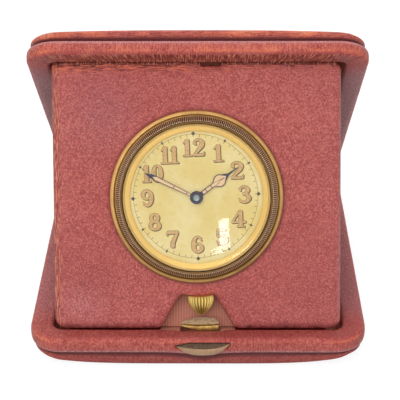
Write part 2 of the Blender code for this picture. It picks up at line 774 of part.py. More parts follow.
def board_backing(body):
    """The ribbed board behind the leather one, which closes the notch's floor."""
    corners = (BOARD_CORNER, BOARD_TOP_DROP * 2)
    left, right, foot, top = board_box()
    box = (left + BACKING_INSET, right - BACKING_INSET, foot + BACKING_FOOT_INSET, top)
    rings = [round_rectangle(box, corners, 0.0, height) for height in (BACKING_BACK, BACKING_FRONT)]
    backing = add("board_backing", rings_mesh("board_backing", rings), body, "red_lining")
    hole = cylinder_mesh(
        "backing_hole", CASE_RADIUS + GAP, BACKING_BACK - CUT_OVERRUN, BACKING_FRONT + CUT_OVERRUN, TURN_STEPS
    )
    combine(backing, tool("backing_hole", hole, body, (CLOCK_SHIFT, -CLOCK_DROP, 0)))


def hinge_strip(upper):
    """The leather strip that the board's folded edge turns in, inside the upper cover's front lip."""
    inner = BOARD_BEAD + GAP
    outer = inner + STRIP_THICKNESS
    outline = arc((0, 0), outer, STRIP_FROM, STRIP_TO, 6)
    outline += arc((0, 0), inner, STRIP_TO, STRIP_FROM, 6)
    half = COVER_WIDTH / 2 - FRONT_CORNER
    mesh = plate_mesh("board_hinge_strip", [outline], -half, half)
    # the outline is drawn across the strip: X toward the front, Y into the cover, length along Z
    place = Matrix(
        ((0, 0, 1, 0), (-1, 0, 0, -BOARD_AXIS_REACH), (0, -1, 0, -BOARD_AXIS_DEPTH), (0, 0, 0, 1))
    )
    mesh.transform(place)
    strip = add("board_hinge_strip", mesh, upper, "red_leather")
    return strip


def cut_keeper(rim, strip, upper):
    """The slot in the upper lip that the catch's hook enters, and the brass plate in it."""
    for piece, depth in ((rim, KEEPER_DEPTH), (strip, HOOK_RISE + GAP)):
        slot = box_mesh(
            f"{piece.name}_slot",
            (-KEEPER_WIDTH / 2, -KEEPER_WALL, -depth),
            (KEEPER_WIDTH / 2, -BOARD_AXIS_REACH + BOARD_BEAD * 2, CUT_OVERRUN),
        )
        combine(piece, tool(f"{piece.name}_slot", slot, upper, (-KEEPER_X, 0, 0)))
    low = -KEEPER_WALL + GAP
    outline = [
        (-KEEPER_WIDTH / 2 + GAP, -KEEPER_DEPTH + GAP),
        (KEEPER_WIDTH / 2 - GAP, -KEEPER_DEPTH + GAP),
        (KEEPER_WIDTH / 2 - GAP, -RIM_ROUND),
        (-KEEPER_WIDTH / 2 + GAP, -RIM_ROUND),
    ]
    mesh = plate_mesh("catch_keeper", [outline], low, low + KEEPER_THICKNESS)
    mesh.transform(Matrix(((1, 0, 0, 0), (0, 0, 1, 0), (0, 1, 0, 0), (0, 0, 0, 1))))
    mesh.flip_normals()
    add("catch_keeper", mesh, upper, "brass", (-KEEPER_X, 0, 0), smooth=False)


def bowed_outline(width, back, front, bow, steps=8):
    """A plan with a straight back and a front that bows toward the viewer."""
    half = width / 2
    points = [(half, back), (-half, back)]
    for i in range(steps + 1):
        share = i / steps
        points.append((-half + width * share, front + bow * (1 - math.sin(math.pi * share) ** 0.8)))
    return points


def front_catch(lower, catch, rim):
    """The push button, the hook and their spring, with the window through the lower rim."""
    top = -BUTTON_DROP
    bottom = top - BUTTON_HEIGHT
    wall = -COVER_REACH
    button = plate_mesh(
        "catch_button",
        [bowed_outline(BUTTON_WIDTH, wall + BUTTON_ROOT, wall - BUTTON_BULGE, BUTTON_BULGE - GAP)],
        bottom,
        top,
    )
    piece = add("catch_button", button, catch, "dark_brass", (BUTTON_X, 0, 0))
    soften = piece.modifiers.new("soften", "BEVEL")
    soften.width = BUTTON_HEIGHT / 9
    soften.segments = 1
    soften.limit_method = "ANGLE"
    spring_room = SPRING_THICKNESS + SPRING_BOW + GAP
    pocket_back = wall + BUTTON_ROOT + BUTTON_TRAVEL + GAP + spring_room
    pocket = box_mesh(
        "button_pocket",
        (-BUTTON_WIDTH / 2 - GAP, wall - CUT_OVERRUN, bottom - GAP),
        (BUTTON_WIDTH / 2 + GAP, pocket_back, top + GAP),
    )
    combine(rim, tool("button_pocket", pocket, lower, (BUTTON_X, 0, 0)))
    slider_top = (top + bottom) / 2 + SLIDER_HEIGHT / 2
    slider_low = slider_top - SLIDER_HEIGHT
    window = box_mesh(
        "slider_window",
        (-SLIDER_WIDTH / 2 - GAP, wall, slider_low - GAP),
        (SLIDER_WIDTH / 2 + GAP, -LIP_FRONT + CUT_OVERRUN, slider_top + GAP),
    )
    combine(rim, tool("slider_window", window, lower, (CATCH_X, 0, 0)))
    hook_front = FOOT_Y
    hook_back = hook_front + HOOK_DEPTH
    hook = add(
        "catch_hook",
        plate_mesh(
            "catch_hook",
            [bowed_outline(HOOK_WIDTH, hook_back, hook_front, HOOK_BOW)],
            slider_low,
            HOOK_RISE,
        ),
        catch,
        "gilt_brass",
        (CATCH_X, 0, 0),
    )
    groove_top = HOOK_RISE - HOOK_NOSE
    groove = plate_mesh(
        "hook_groove",
        [
            bowed_outline(HOOK_WIDTH * 2, hook_front - CUT_OVERRUN, hook_front - CUT_OVERRUN * 2, 0)[:2]
            + bowed_outline(HOOK_WIDTH, 0, hook_front + HOOK_GROOVE_DEPTH, HOOK_BOW)[2:]
        ],
        groove_top - HOOK_GROOVE,
        groove_top,
    )
    combine(hook, tool("hook_groove", groove, catch, (CATCH_X, 0, 0)))
    slider = box_mesh(
        "hook_slider",
        (-SLIDER_WIDTH / 2, wall + BUTTON_ROOT + GAP, slider_low),
        (SLIDER_WIDTH / 2, hook_back - HOOK_DEPTH / 3, slider_top),
    )
    combine(hook, tool("hook_slider", slider, catch, (CATCH_X, 0, 0)), "UNION")
    low = pocket_back - GAP
    outer = [
        (-SPRING_LENGTH / 2 + SPRING_LENGTH * i / 8, low - SPRING_BOW * math.sin(math.pi * i / 8))
        for i in range(9)
    ]
    inner = [(x, y - SPRING_THICKNESS) for x, y in reversed(outer)]
    spring = plate_mesh("catch_spring", [outer + inner], bottom, bottom + SPRING_HEIGHT)
    add("catch_spring", spring, lower, "steel", (BUTTON_X, 0, 0))


def foot_rests(lower):
    """The leather covered steps that carry the board's foot, left and right of the catch."""
    slope = math.tan(BOARD_LEAN)
    front = FOOT_Y
    foot_top = -FOOT_DIP - GAP * 1.4
    bottom = -PAD_TOP + GAP / 3
    back = front + FOOT_REST_DEPTH
    back_top = max(foot_top - slope * FOOT_REST_DEPTH, bottom + FOOT_REST_HEEL)
    outline = [(front, bottom), (back, bottom), (back, back_top), (front, foot_top)]
    for side, sign in (("left", -1), ("right", 1)):
        inner = CATCH_X + sign * (HOOK_WIDTH / 2 + GAP)
        end = sign * (COVER_WIDTH / 2 - LIP_WIDTH - FOOT_REST_END)
        mesh = plate_mesh(f"foot_rest_{side}", [outline], min(inner, end), max(inner, end))
        mesh.transform(Matrix(((0, 0, 1, 0), (1, 0, 0, 0), (0, 1, 0, 0), (0, 0, 0, 1))))
        add(f"foot_rest_{side}", mesh, lower, "red_lining", smooth=False)


def clock_case(clock):
    """Case wall and snap back, with the stem's hole."""
    outer = CASE_RADIUS
    inner = outer - CASE_WALL
    wall = add(
        "movement_case",
        turned_mesh(
            "movement_case",
            [
                (inner, BOARD_FACE),
                (outer, BOARD_FACE),
                (outer, BOARD_FACE - CASE_DEPTH),
                (inner, BOARD_FACE - CASE_DEPTH),
            ],
        ),
        clock,
        "brass",
    )
    stem_hole = STEM_RADIUS + STEM_TUBE_WALL + GAP * 2
    hole = cylinder_mesh("case_stem_hole", stem_hole, 0, outer + CUT_OVERRUN, axis="Y")
    hole.transform(Matrix.Rotation(math.pi, 4, "Z"))
    combine(wall, tool("case_stem_hole", hole, clock, (0, 0, STEM_LEVEL)))
    snap = inner - GAP
    low = CASE_BACK_LEVEL
    profile = [
        (0, low + CASE_BACK_THICKNESS),
        (snap - CASE_WALL, low + CASE_BACK_THICKNESS),
        (snap - CASE_WALL, low + CASE_BACK_THICKNESS * 2),
        (snap, low + CASE_BACK_THICKNESS * 2),
        (snap, low + CASE_BACK_THICKNESS),
        (outer, low + CASE_BACK_THICKNESS),
        (outer, low + CASE_BACK_THICKNESS / 2),
        (outer - CASE_BACK_THICKNESS, low),
        (0, low),
    ]
    add("case_back", turned_mesh("case_back", profile, closed=False), clock, "brass")


def bezel(clock):
    """Turned bezel, the milled ring round it, the sloping dial ring and the domed crystal."""
    base = BEZEL_BASE
    top = BEZEL_TOP
    foot = base + BEZEL_FOOT_HEIGHT
    shelf = BEZEL_RADIUS - BEZEL_RING_WIDTH
    neck = BEZEL_BORE + BEZEL_NECK
    add(
        "bezel",
        turned_mesh(
            "bezel",
            [
                (BEZEL_BORE, top - BEZEL_NECK / 4),
                (BEZEL_BORE + BEZEL_NECK / 4, top),
                (neck - BEZEL_NECK / 4, top),
                (neck, top - BEZEL_NECK / 4),
                (neck, foot),
                (shelf, foot),
                (shelf + BEZEL_RING_WIDTH * 0.2, foot + BEZEL_FOOT_HEIGHT * 0.4),
                (BEZEL_RADIUS - BEZEL_RING_WIDTH * 0.3, foot + BEZEL_FOOT_HEIGHT * 0.3),
                (BEZEL_RADIUS, foot - BEZEL_FOOT_HEIGHT * 0.3),
                (BEZEL_RADIUS, base),
                (BEZEL_BORE, base),
            ],
        ),
        clock,
        "brass",
    )
    inner = neck + GAP
    outer = inner + MILLED_RING_WIDTH
    low = foot + GAP
    high = top - GAP
    start = 0.0
    rings = []
    for radius, height, toothed in (
        (inner, low, False),
        (outer, low, True),
        (outer - MILLED_SLOPE, high, True),
        (inner, high, False),
    ):
        root = radius - MILLED_TOOTH if toothed else radius
        rings.append([Vector((x, y, height)) for x, y in saw_teeth(MILLED_TEETH, root, radius, start)])
    add("milled_ring", rings_mesh("milled_ring", rings, closed=True), clock, "dark_brass", smooth=False)
    edge = BEZEL_BORE - GAP
    ring_low = DIAL_FACE + GAP
    ring_high = ring_low + DIAL_RING_HEIGHT
    add(
        "dial_ring",
        turned_mesh(
            "dial_ring",
            [
                (edge, ring_high),
                (edge, ring_low),
                (DIAL_OPENING, ring_low),
                (DIAL_OPENING, ring_low + DIAL_RING_EDGE),
                (edge - DIAL_RING_FLAT, ring_high),
            ],
        ),
        clock,
        "gilt_brass",
    )
    glass_low = ring_high + GAP
    steps = 5
    outside = []
    inside = []
    for i in range(steps + 1):
        share = i / steps
        radius = edge * math.sin(math.radians(90.0) * share) ** 0.9
        rise = CRYSTAL_RISE * (1 - (radius / edge) ** 2.6)
        outside.append((radius, glass_low + CRYSTAL_EDGE + rise))
        inner_level = glass_low + CRYSTAL_EDGE - CRYSTAL_THICKNESS + rise
        inside.append((radius * (1 - CRYSTAL_THICKNESS / edge), inner_level))
    inside[-1] = (inside[-1][0], glass_low)
    profile = outside + [(edge, glass_low)] + list(reversed(inside))
    add("crystal", turned_mesh("crystal", profile, 40, closed=False), clock, "crystal_glass")


def dial_and_plate(clock):
    """The dial, and the main plate with its rim, its pivot holes and the stem's tunnel."""
    add(
        "dial",
        turned_mesh(
            "dial",
            [
                (DIAL_HOLE, DIAL_FACE),
                (DIAL_RADIUS, DIAL_FACE),
                (DIAL_RADIUS, DIAL_BACK),
                (DIAL_HOLE, DIAL_BACK),
            ],
            40,
        ),
        clock,
        "dial_gilt",
    )
    rim_top = DIAL_BACK - GAP
    rim_in = PLATE_RADIUS - PLATE_RIM_WIDTH
    profile = [
        (0, PLATE_FRONT),
        (rim_in, PLATE_FRONT),
        (rim_in, rim_top),
        (PLATE_RADIUS, rim_top),
        (PLATE_RADIUS, PLATE_BACK),
        (0, PLATE_BACK),
    ]
    plate = add("main_plate", turned_mesh("main_plate", profile, 40, closed=False), clock, "brass")
    hole = ARBOR_RADIUS + RUNNING_FIT * 2
    centre = cylinder_mesh("plate_centre", hole, PLATE_BACK - CUT_OVERRUN, PLATE_FRONT + CUT_OVERRUN)
    combine(plate, tool("plate_centre", centre, clock))
    tunnel = cylinder_mesh(
        "plate_tunnel", STEM_RADIUS + RUNNING_FIT * 2, PINION_START, PLATE_RADIUS + CUT_OVERRUN, axis="Y"
    )
    tunnel.transform(Matrix.Rotation(math.pi, 4, "Z"))
    combine(plate, tool("plate_tunnel", tunnel, clock, (0, 0, STEM_LEVEL)))
    room = PINION_RADIUS + GAP
    pocket = box_mesh(
        "plate_pocket",
        (-room, -PINION_START - PINION_LENGTH - GAP, PLATE_BACK - CUT_OVERRUN),
        (room, -STEM_INNER_REACH + GAP, PLATE_FRONT + CUT_OVERRUN),
    )
    combine(plate, tool("plate_pocket", pocket, clock))
    for name, place in train_places().items():
        pivot = cylinder_mesh(
            f"plate_pivot_{name}",
            PIVOT_RADIUS + RUNNING_FIT * 1.5,
            PLATE_BACK - CUT_OVERRUN,
            PLATE_FRONT + CUT_OVERRUN,
            8,
        )
        combine(plate, tool(f"plate_pivot_{name}", pivot, clock, (*place, 0)))
    return plate


def train_places():
    """Where the train's arbors stand, each from the one before it."""
    third = polar(CENTRE_WHEEL_RADIUS + THIRD_PINION_RADIUS + TIP_CLEARANCE, THIRD_BEARING)
    fourth = polar(THIRD_WHEEL_RADIUS + FOURTH_PINION_RADIUS + TIP_CLEARANCE, FOURTH_BEARING, third)
    escape = polar(FOURTH_WHEEL_RADIUS + ESCAPE_PINION_RADIUS + TIP_CLEARANCE, ESCAPE_BEARING, fourth)
    fork = polar(FORK_REACH, FORK_BEARING, escape)
    return {
        "barrel": polar(BARREL_RADIUS + CENTRE_PINION_RADIUS + TIP_CLEARANCE, BARREL_BEARING),
        "third": third,
        "fourth": fourth,
        "escape": escape,
        "fork": fork,
        "balance": polar(FORK_LENGTH, BALANCE_BEARING, fork),
    }


def wheel_outlines(count, radius, spokes):
    """A wheel's toothed edge with crossings cut between its spokes."""
    tooth = radius * math.tau / count
    outlines = [saw_teeth(count, radius - tooth, radius)]
    rim = radius - tooth * 2.2
    hub = ARBOR_RADIUS * 2
    if spokes:
        half = math.pi / spokes
        for i in range(spokes):
            middle = math.tau * (i + 0.5) / spokes
            outlines.append(
                arc((0, 0), rim, middle - half * 0.8, middle + half * 0.8, 4)
                + arc((0, 0), hub + (rim - hub) * 0.12, middle + half * 0.45, middle - half * 0.45, 2)
            )
    return outlines


def arbor(name, body, wheels, low, high, finish="brass"):
    """A staff with its wheels and pinions joined to it. wheels hold outlines, low and high."""
    pivot_low = BRIDGE_THICKNESS
    pivot_high = PLATE_THICKNESS / 2
    staff = turned_mesh(
        name,
        [
            (0, high + pivot_high),
            (PIVOT_RADIUS, high + pivot_high),
            (PIVOT_RADIUS, high),
            (ARBOR_RADIUS, high),
            (ARBOR_RADIUS, low),
            (PIVOT_RADIUS, low),
            (PIVOT_RADIUS, low - pivot_low),
            (0, low - pivot_low),
        ],
        10,
        closed=False,
    )
    piece = add(name, staff, body, finish)
    for i, (outlines, bottom, top) in enumerate(wheels):
        shape = plate_mesh(f"{name}_wheel", outlines, bottom, top)
        combine(piece, tool(f"{name}_wheel_{i}", shape, body), "UNION")


def leaves(radius):
    """The outline of a pinion's leaves."""
    return [saw_teeth(PINION_LEAVES, radius * PINION_ROOT_SHARE, radius)]


def going_train(clock):
    """Barrel, wheels, escapement and balance between the main plate and the bridges."""
    places = train_places()
    bodies = {name: frame(f"{name}_frame", clock, (*place, 0)) for name, place in places.items()}
    high = PLATE_BACK - GAP / 2
    low = BRIDGE_FRONT + GAP / 2
    near = high - GAP / 2
    centre_level = low + GAP
    pinion_long = WHEEL_THICKNESS * 3
    thick = WHEEL_THICKNESS

    barrel_teeth_low = near - thick * 1.5
    arbor(
        "barrel",
        bodies["barrel"],
        [
            (wheel_outlines(BARREL_TEETH, BARREL_RADIUS, 0), barrel_teeth_low, near),
            ([circle(BARREL_RADIUS - BARREL_STEP * 1.6, 32)], near - BARREL_HEIGHT, near - thick / 2),
        ],
        low,
        high,
    )
    ratchet_high = near - BARREL_HEIGHT - GAP / 2
    ratchet = turned_mesh(
        "ratchet_hub",
        [
            (ARBOR_RADIUS + RUNNING_FIT, ratchet_high),
            (ARBOR_RADIUS * 2, ratchet_high),
            (ARBOR_RADIUS * 2, ratchet_high - thick * 1.4),
            (ARBOR_RADIUS + RUNNING_FIT, ratchet_high - thick * 1.4),
        ],
        10,
    )
    piece = add("ratchet_wheel", ratchet, clock, "steel", (*places["barrel"], 0))
    disc = plate_mesh(
        "ratchet_disc",
        [saw_teeth(RATCHET_TEETH, RATCHET_RADIUS * 0.9, RATCHET_RADIUS), circle(ARBOR_RADIUS * 1.6, 10)],
        ratchet_high - thick,
        ratchet_high,
    )
    combine(piece, tool("ratchet_disc", disc, clock, (*places["barrel"], 0)), "UNION")

    arbor(
        "third_wheel",
        bodies["third"],
        [
            (wheel_outlines(THIRD_TEETH, THIRD_WHEEL_RADIUS, 4), near - thick, near),
            (leaves(THIRD_PINION_RADIUS), centre_level - GAP / 2, centre_level + pinion_long),
        ],
        low,
        high,
    )
    fourth_level = centre_level + thick * 4
    arbor(
        "fourth_wheel",
        bodies["fourth"],
        [
            (wheel_outlines(FOURTH_TEETH, FOURTH_WHEEL_RADIUS, 4), fourth_level, fourth_level + thick),
            (leaves(FOURTH_PINION_RADIUS), near - thick * 2, near),
        ],
        low,
        high,
    )
    escape_level = fourth_level + thick * 4
    escape = teeth(ESCAPE_TEETH, ESCAPE_WHEEL_RADIUS * 0.78, ESCAPE_WHEEL_RADIUS, 0.5, 0.1, lean=0.5)
    arbor(
        "escape_wheel",
        bodies["escape"],
        [
            ([escape], escape_level, escape_level + thick),
            (leaves(ESCAPE_PINION_RADIUS), fourth_level - GAP, fourth_level + thick * 2),
        ],
        low,
        high,
    )
    fork_place = places["fork"]
    toward = math.atan2(places["escape"][1] - fork_place[1], places["escape"][0] - fork_place[0])
    arm = FORK_SPAN / 6
    pad = FORK_REACH - ESCAPE_WHEEL_RADIUS - TIP_CLEARANCE
    fork_outline = [
        (pad, -FORK_SPAN),
        (pad, -FORK_SPAN + arm * 2),
        (arm * 2, -arm),
        (arm * 2, arm),
        (pad, FORK_SPAN - arm * 2),
        (pad, FORK_SPAN),
        (pad - arm * 2, FORK_SPAN),
        (-arm, arm * 2),
        (-FORK_LENGTH * 0.7, arm * 0.7),
        (-FORK_LENGTH * 0.7, -arm * 0.7),
        (-arm, -arm * 2),
        (pad - arm * 2, -FORK_SPAN),
    ]
    turned = Matrix.Rotation(toward, 2)
    fork_outline = [tuple(turned @ Vector(point)) for point in fork_outline]
    arbor(
        "pallet_fork",
        bodies["fork"],
        [([fork_outline], escape_level, escape_level + thick)],
        low,
        high,
        "steel",
    )
    balance_level = fourth_level + thick / 2
    balance_rim = [circle(BALANCE_RADIUS, 32)]
    inner = BALANCE_RADIUS - BALANCE_RIM
    for side in (0.0, math.pi):
        half = math.radians(90.0) - math.asin(BALANCE_ARM / 2 / inner) * 1.6
        balance_rim.append(
            arc((0, 0), inner, side + math.radians(90.0) - half, side + math.radians(90.0) + half, 10)
            + [polar(ARBOR_RADIUS * 2, side + math.radians(90.0))]
        )
    arbor(
        "balance_wheel",
        bodies["balance"],
        [(balance_rim, balance_level, balance_level + thick * 1.3)],
        low,
        high,
        "gilt_brass",
    )
    return places


def centre_arbor(minute):
    """The centre wheel and its arbor, which reaches through the plate to the minute hand."""
    high = PLATE_BACK - GAP / 2
    low = BRIDGE_FRONT + GAP / 2
    centre_level = low + GAP
    near = high - GAP / 2
    tip = DIAL_FACE + MINUTE_HAND_LIFT + HAND_THICKNESS + CANNON_CAP
    staff = turned_mesh(
        "centre_wheel",
        [
            (0, tip),
            (ARBOR_RADIUS, tip),
            (ARBOR_RADIUS, low),
            (PIVOT_RADIUS, low),
            (PIVOT_RADIUS, low - BRIDGE_THICKNESS),
            (0, low - BRIDGE_THICKNESS),
        ],
        16,
        closed=False,
    )
    piece = add("centre_wheel", staff, minute, "brass")
    outlines = wheel_outlines(CENTRE_TEETH, CENTRE_WHEEL_RADIUS, 5)
    wheel = plate_mesh("centre_toothed", outlines, centre_level, centre_level + WHEEL_THICKNESS)
    combine(piece, tool("centre_toothed", wheel, minute), "UNION")
    leaves = plate_mesh(
        "centre_pinion",
        [saw_teeth(BARREL_PINION_LEAVES, CENTRE_PINION_RADIUS * 0.75, CENTRE_PINION_RADIUS)],
        near - WHEEL_THICKNESS * 2.2,
        near,
    )
    combine(piece, tool("centre_pinion", leaves, minute), "UNION")


def bridges(clock, places):
    """The train's bridge and the balance's cock, standing on pillars from the main plate."""
    low = BRIDGE_FRONT - BRIDGE_THICKNESS
    balance = places["balance"]
    room = BALANCE_RADIUS - BALANCE_RIM
    outside = math.atan2(balance[1], balance[0])
    mouth = math.radians(50.0)
    shoulder = math.asin(room * math.sin(mouth) / BRIDGE_RADIUS)
    outline = arc((0, 0), BRIDGE_RADIUS, outside + shoulder, outside - shoulder + math.tau, 32)
    outline += arc(balance, room, outside - mouth, outside + mouth - math.tau, 16)
    pivot = PIVOT_RADIUS + RUNNING_FIT * 1.5
    holes = [circle(pivot, 8)]
    holes += [circle(pivot, 8, place) for name, place in places.items() if name != "balance"]
    mesh = plate_mesh("train_bridge", [outline] + holes, low, BRIDGE_FRONT)
    add("train_bridge", mesh, clock, "brass", smooth=False)
    for i, bearing in enumerate(PILLAR_BEARINGS):
        spot = polar(PILLAR_CIRCLE, bearing)
        pillar = cylinder_mesh(f"pillar_{i}", PILLAR_RADIUS, BRIDGE_FRONT + GAP, PLATE_BACK - GAP, 12)
        add(f"plate_pillar_{i + 1}", pillar, clock, "brass", (*spot, 0))
    half = PILLAR_RADIUS * 1.3
    reach = BRIDGE_RADIUS - math.hypot(*balance)
    cock_outline = [
        (-half, -half),
        (reach * 0.9, -half * 1.5),
        (reach * 0.9, half * 1.5),
        (-half, half),
    ]
    cock = add(
        "balance_cock",
        plate_mesh("balance_cock", [cock_outline, circle(pivot, 8)], low, BRIDGE_FRONT),
        clock,
        "brass",
        (*balance, 0),
        outside,
        smooth=False,
    )
    foot_back = BRIDGE_FRONT - BRIDGE_THICKNESS / 2
    foot = cylinder_mesh("cock_foot", PILLAR_RADIUS, foot_back, PLATE_BACK - GAP, 12)
    spot = polar(reach * 0.75, outside, balance)
    combine(cock, tool("cock_foot", foot, clock, (*spot, 0)), "UNION")


def motion_work(clock, minute, hour, runner):
    """Cannon pinion, minute wheel and hour wheel between the main plate and the dial."""
    bearing = MOTION_BEARING
    first = CANNON_LEAVES + MINUTE_WHEEL_TEETH
    second = MINUTE_PINION_LEAVES + HOUR_WHEEL_TEETH
    cannon_pitch = MOTION_DISTANCE * CANNON_LEAVES / first
    minute_pitch = MOTION_DISTANCE * MINUTE_WHEEL_TEETH / first
    pinion_pitch = MOTION_DISTANCE * MINUTE_PINION_LEAVES / second
    hour_pitch = MOTION_DISTANCE * HOUR_WHEEL_TEETH / second
    low = PLATE_FRONT + LEVEL_GAP
    leaf_top = low + CANNON_LEAF_HEIGHT
    half = MESH_DEPTH / 2
    tube = CANNON_BORE + CANNON_WALL
    hand_top = DIAL_FACE + MINUTE_HAND_LIFT - GAP / 3
    cannon = add(
        "cannon_pinion",
        turned_mesh(
            "cannon_pinion",
            [(CANNON_BORE, hand_top), (tube, hand_top), (tube, low), (CANNON_BORE, low)],
            16,
        ),
        minute,
        "steel",
    )
    leaves = plate_mesh(
        "cannon_leaves",
        [
            saw_teeth(
                CANNON_LEAVES,
                cannon_pitch + half - TOOTH_HEIGHT,
                cannon_pitch + half,
                start=bearing + math.pi / CANNON_LEAVES,
            ),
            circle((CANNON_BORE + tube) / 2, 16),
        ],
        low,
        leaf_top,
    )
    combine(cannon, tool("cannon_leaves", leaves, minute), "UNION")

    spot = polar(MOTION_DISTANCE, bearing)
    wheel_low = low + LEVEL_GAP / 2
    wheel_top = wheel_low + MOTION_WHEEL_THICKNESS
    bore = STUD_RADIUS + RUNNING_FIT
    hour_low = leaf_top + LEVEL_GAP
    hour_top = hour_low + MOTION_WHEEL_THICKNESS
    tip = minute_pitch + half
    wheel = add(
        "minute_wheel",
        plate_mesh(
            "minute_wheel",
            [
                saw_teeth(MINUTE_WHEEL_TEETH, tip - TOOTH_HEIGHT, tip, start=bearing + math.pi),
                circle(bore, 12),
            ],
            wheel_low,
            wheel_top,
        ),
        runner,
        "brass",
        smooth=False,
    )
    pinion = plate_mesh(
        "minute_pinion",
        [
            saw_teeth(
                MINUTE_PINION_LEAVES,
                pinion_pitch + half - TOOTH_HEIGHT,
                pinion_pitch + half,
                start=bearing + math.pi,
            ),
            circle(bore, 12),
        ],
        wheel_top - LEVEL_GAP,
        hour_top,
    )
    combine(wheel, tool("minute_pinion", pinion, runner), "UNION")
    stud = cylinder_mesh("minute_stud", STUD_RADIUS, PLATE_FRONT + GAP / 10, hour_top, 12)
    add("minute_stud", stud, clock, "steel", (*spot, 0))

    hub = tube + RUNNING_FIT
    hour_tube_top = DIAL_FACE + HOUR_HAND_LIFT + HAND_THICKNESS + GAP / 3
    gear = add(
        "hour_wheel",
        turned_mesh(
            "hour_wheel",
            [
                (hub, hour_tube_top),
                (hub + HOUR_TUBE_WALL, hour_tube_top),
                (hub + HOUR_TUBE_WALL, hour_low),
                (hub, hour_low),
            ],
            16,
        ),
        hour,
        "brass",
    )
    toothed = plate_mesh(
        "hour_toothed",
        [
            saw_teeth(
                HOUR_WHEEL_TEETH,
                hour_pitch + half - TOOTH_HEIGHT,
                hour_pitch + half,
                start=bearing + math.pi / HOUR_WHEEL_TEETH,
            ),
            circle(hub + HOUR_TUBE_WALL / 2, 16),
        ],
        hour_low,
        hour_top,
    )
    combine(gear, tool("hour_toothed", toothed, hour), "UNION")
    return spot


def hands(minute, hour):
    """The pierced hands and the pale paste that fills them."""
    tube = CANNON_BORE + CANNON_WALL
    low = DIAL_FACE + MINUTE_HAND_LIFT
    reach = MINUTE_HAND_REACH
    frame_width = HAND_FRAME
    neck = MINUTE_NECK
    wide = MINUTE_BROAD
    slot_start = MINUTE_BOSS * 1.15
    slot_end = reach * 0.86
    outline = arc((0, 0), MINUTE_BOSS, math.radians(100.0), math.radians(440.0), 18)
    blade = [(neck, reach * 0.2), (wide, reach * 0.8), (wide * 0.9, reach * 0.88), (frame_width * 0.6, reach)]
    outline += blade
    outline += [(-x, y) for x, y in reversed(blade)]
    slot = [
        (neck - frame_width, slot_start),
        (wide - frame_width, reach * 0.8),
        (0, slot_end),
        (frame_width - wide, reach * 0.8),
        (frame_width - neck, slot_start),
    ]
    bore = circle(ARBOR_RADIUS + RUNNING_FIT, 16)
    hand = plate_mesh("minute_hand", [outline, slot, bore], low, low + HAND_THICKNESS)
    add("minute_hand", hand, minute, "blue_steel", turn=-MINUTE_AT, smooth=False)

    low = DIAL_FACE + HOUR_HAND_LIFT
    reach = HOUR_HAND_REACH
    neck = HOUR_NECK
    lobe = HOUR_LOBE
    lobe_at = reach * 0.56
    outline = arc((0, 0), HOUR_BOSS, math.radians(110.0), math.radians(430.0), 18)
    outline += [(neck, reach * 0.3), (neck, lobe_at - lobe * 1.15)]
    outline += arc((0, lobe_at), lobe, math.radians(-55.0), math.radians(50.0), 7)
    outline += [(frame_width * 1.6, reach * 0.78), (frame_width * 0.5, reach)]
    outline += [(-x, y) for x, y in reversed(outline[19:])]
    inner = lobe - frame_width * 1.2
    opening = [(neck - frame_width, HOUR_BOSS * 1.2), (neck - frame_width, lobe_at - lobe * 1.1)]
    opening += arc((0, lobe_at), inner, math.radians(-58.0), math.radians(58.0), 6)
    opening += [(0, reach * 0.72)]
    opening += [(-x, y) for x, y in reversed(opening[:-1])]
    bore = circle(tube + RUNNING_FIT * 2 + HOUR_TUBE_WALL, 16)
    hand = plate_mesh("hour_hand", [outline, opening, bore], low, low + HAND_THICKNESS)
    add("hour_hand", hand, hour, "blue_steel", turn=-HOUR_AT, smooth=False)


def winding(clock, turner, puller, board):
    """Winding pinion on the stem's square, the stem, its tube in the board and the fluted crown."""
    level = (0, 0, STEM_LEVEL)
    down = Matrix.Rotation(math.radians(90.0), 4, "X")
    square = STEM_RADIUS * STEM_SQUARE_SHARE
    pinion = plate_mesh(
        "winding_pinion",
        [
            teeth(PINION_TEETH, PINION_RADIUS * 0.75, PINION_RADIUS),
            [(-square, -square), (square, -square), (square, square), (-square, square)],
        ],
        PINION_START,
        PINION_START + PINION_LENGTH,
    )
    pinion.transform(down)
    add("winding_pinion", pinion, turner, "steel", smooth=False)

    end = PINION_START + PINION_LENGTH + GAP
    inside = CROWN_START - GAP
    tube_in = STEM_RADIUS + RUNNING_FIT * 2
    stem = cylinder_mesh("winding_stem", STEM_RADIUS, end, CROWN_START - GAP, 12)
    stem.transform(down)
    piece = add("winding_stem", stem, puller, "steel")
    side = square - RUNNING_FIT
    bar = box_mesh("stem_square", (-side, -side, STEM_INNER_REACH + CROWN_PULL), (side, side, end + GAP))
    bar.transform(down)
    combine(piece, tool("stem_square", bar, puller), "UNION")

    tube = turned_mesh(
        "stem_tube",
        [
            (tube_in, inside - GAP),
            (tube_in + STEM_TUBE_WALL, inside - GAP),
            (tube_in + STEM_TUBE_WALL, PLATE_RADIUS + GAP),
            (tube_in, PLATE_RADIUS + GAP),
        ],
        12,
    )
    tube.transform(down)
    add("stem_tube", tube, clock, "brass", level)

    rings = []
    for radius_share, along_share in CROWN_PROFILE_SHARES:
        radius = CROWN_RADIUS * radius_share
        height = CROWN_START + CROWN_LENGTH * along_share
        root = radius - CROWN_FLUTE_DEPTH * radius_share
        rings.append([Vector((x, y, height)) for x, y in saw_teeth(CROWN_FLUTES, root, radius)])
    crown = rings_mesh("crown", rings)
    crown.transform(down)
    add("crown", crown, puller, "gilt_brass", smooth=False)

    room = cylinder_mesh(
        "board_stem_hole",
        tube_in + STEM_TUBE_WALL + GAP,
        CASE_RADIUS - CUT_OVERRUN,
        CROWN_START + CROWN_LENGTH,
        12,
    )
    room.transform(down)
    combine(board, tool("board_stem_hole", room, clock, level))


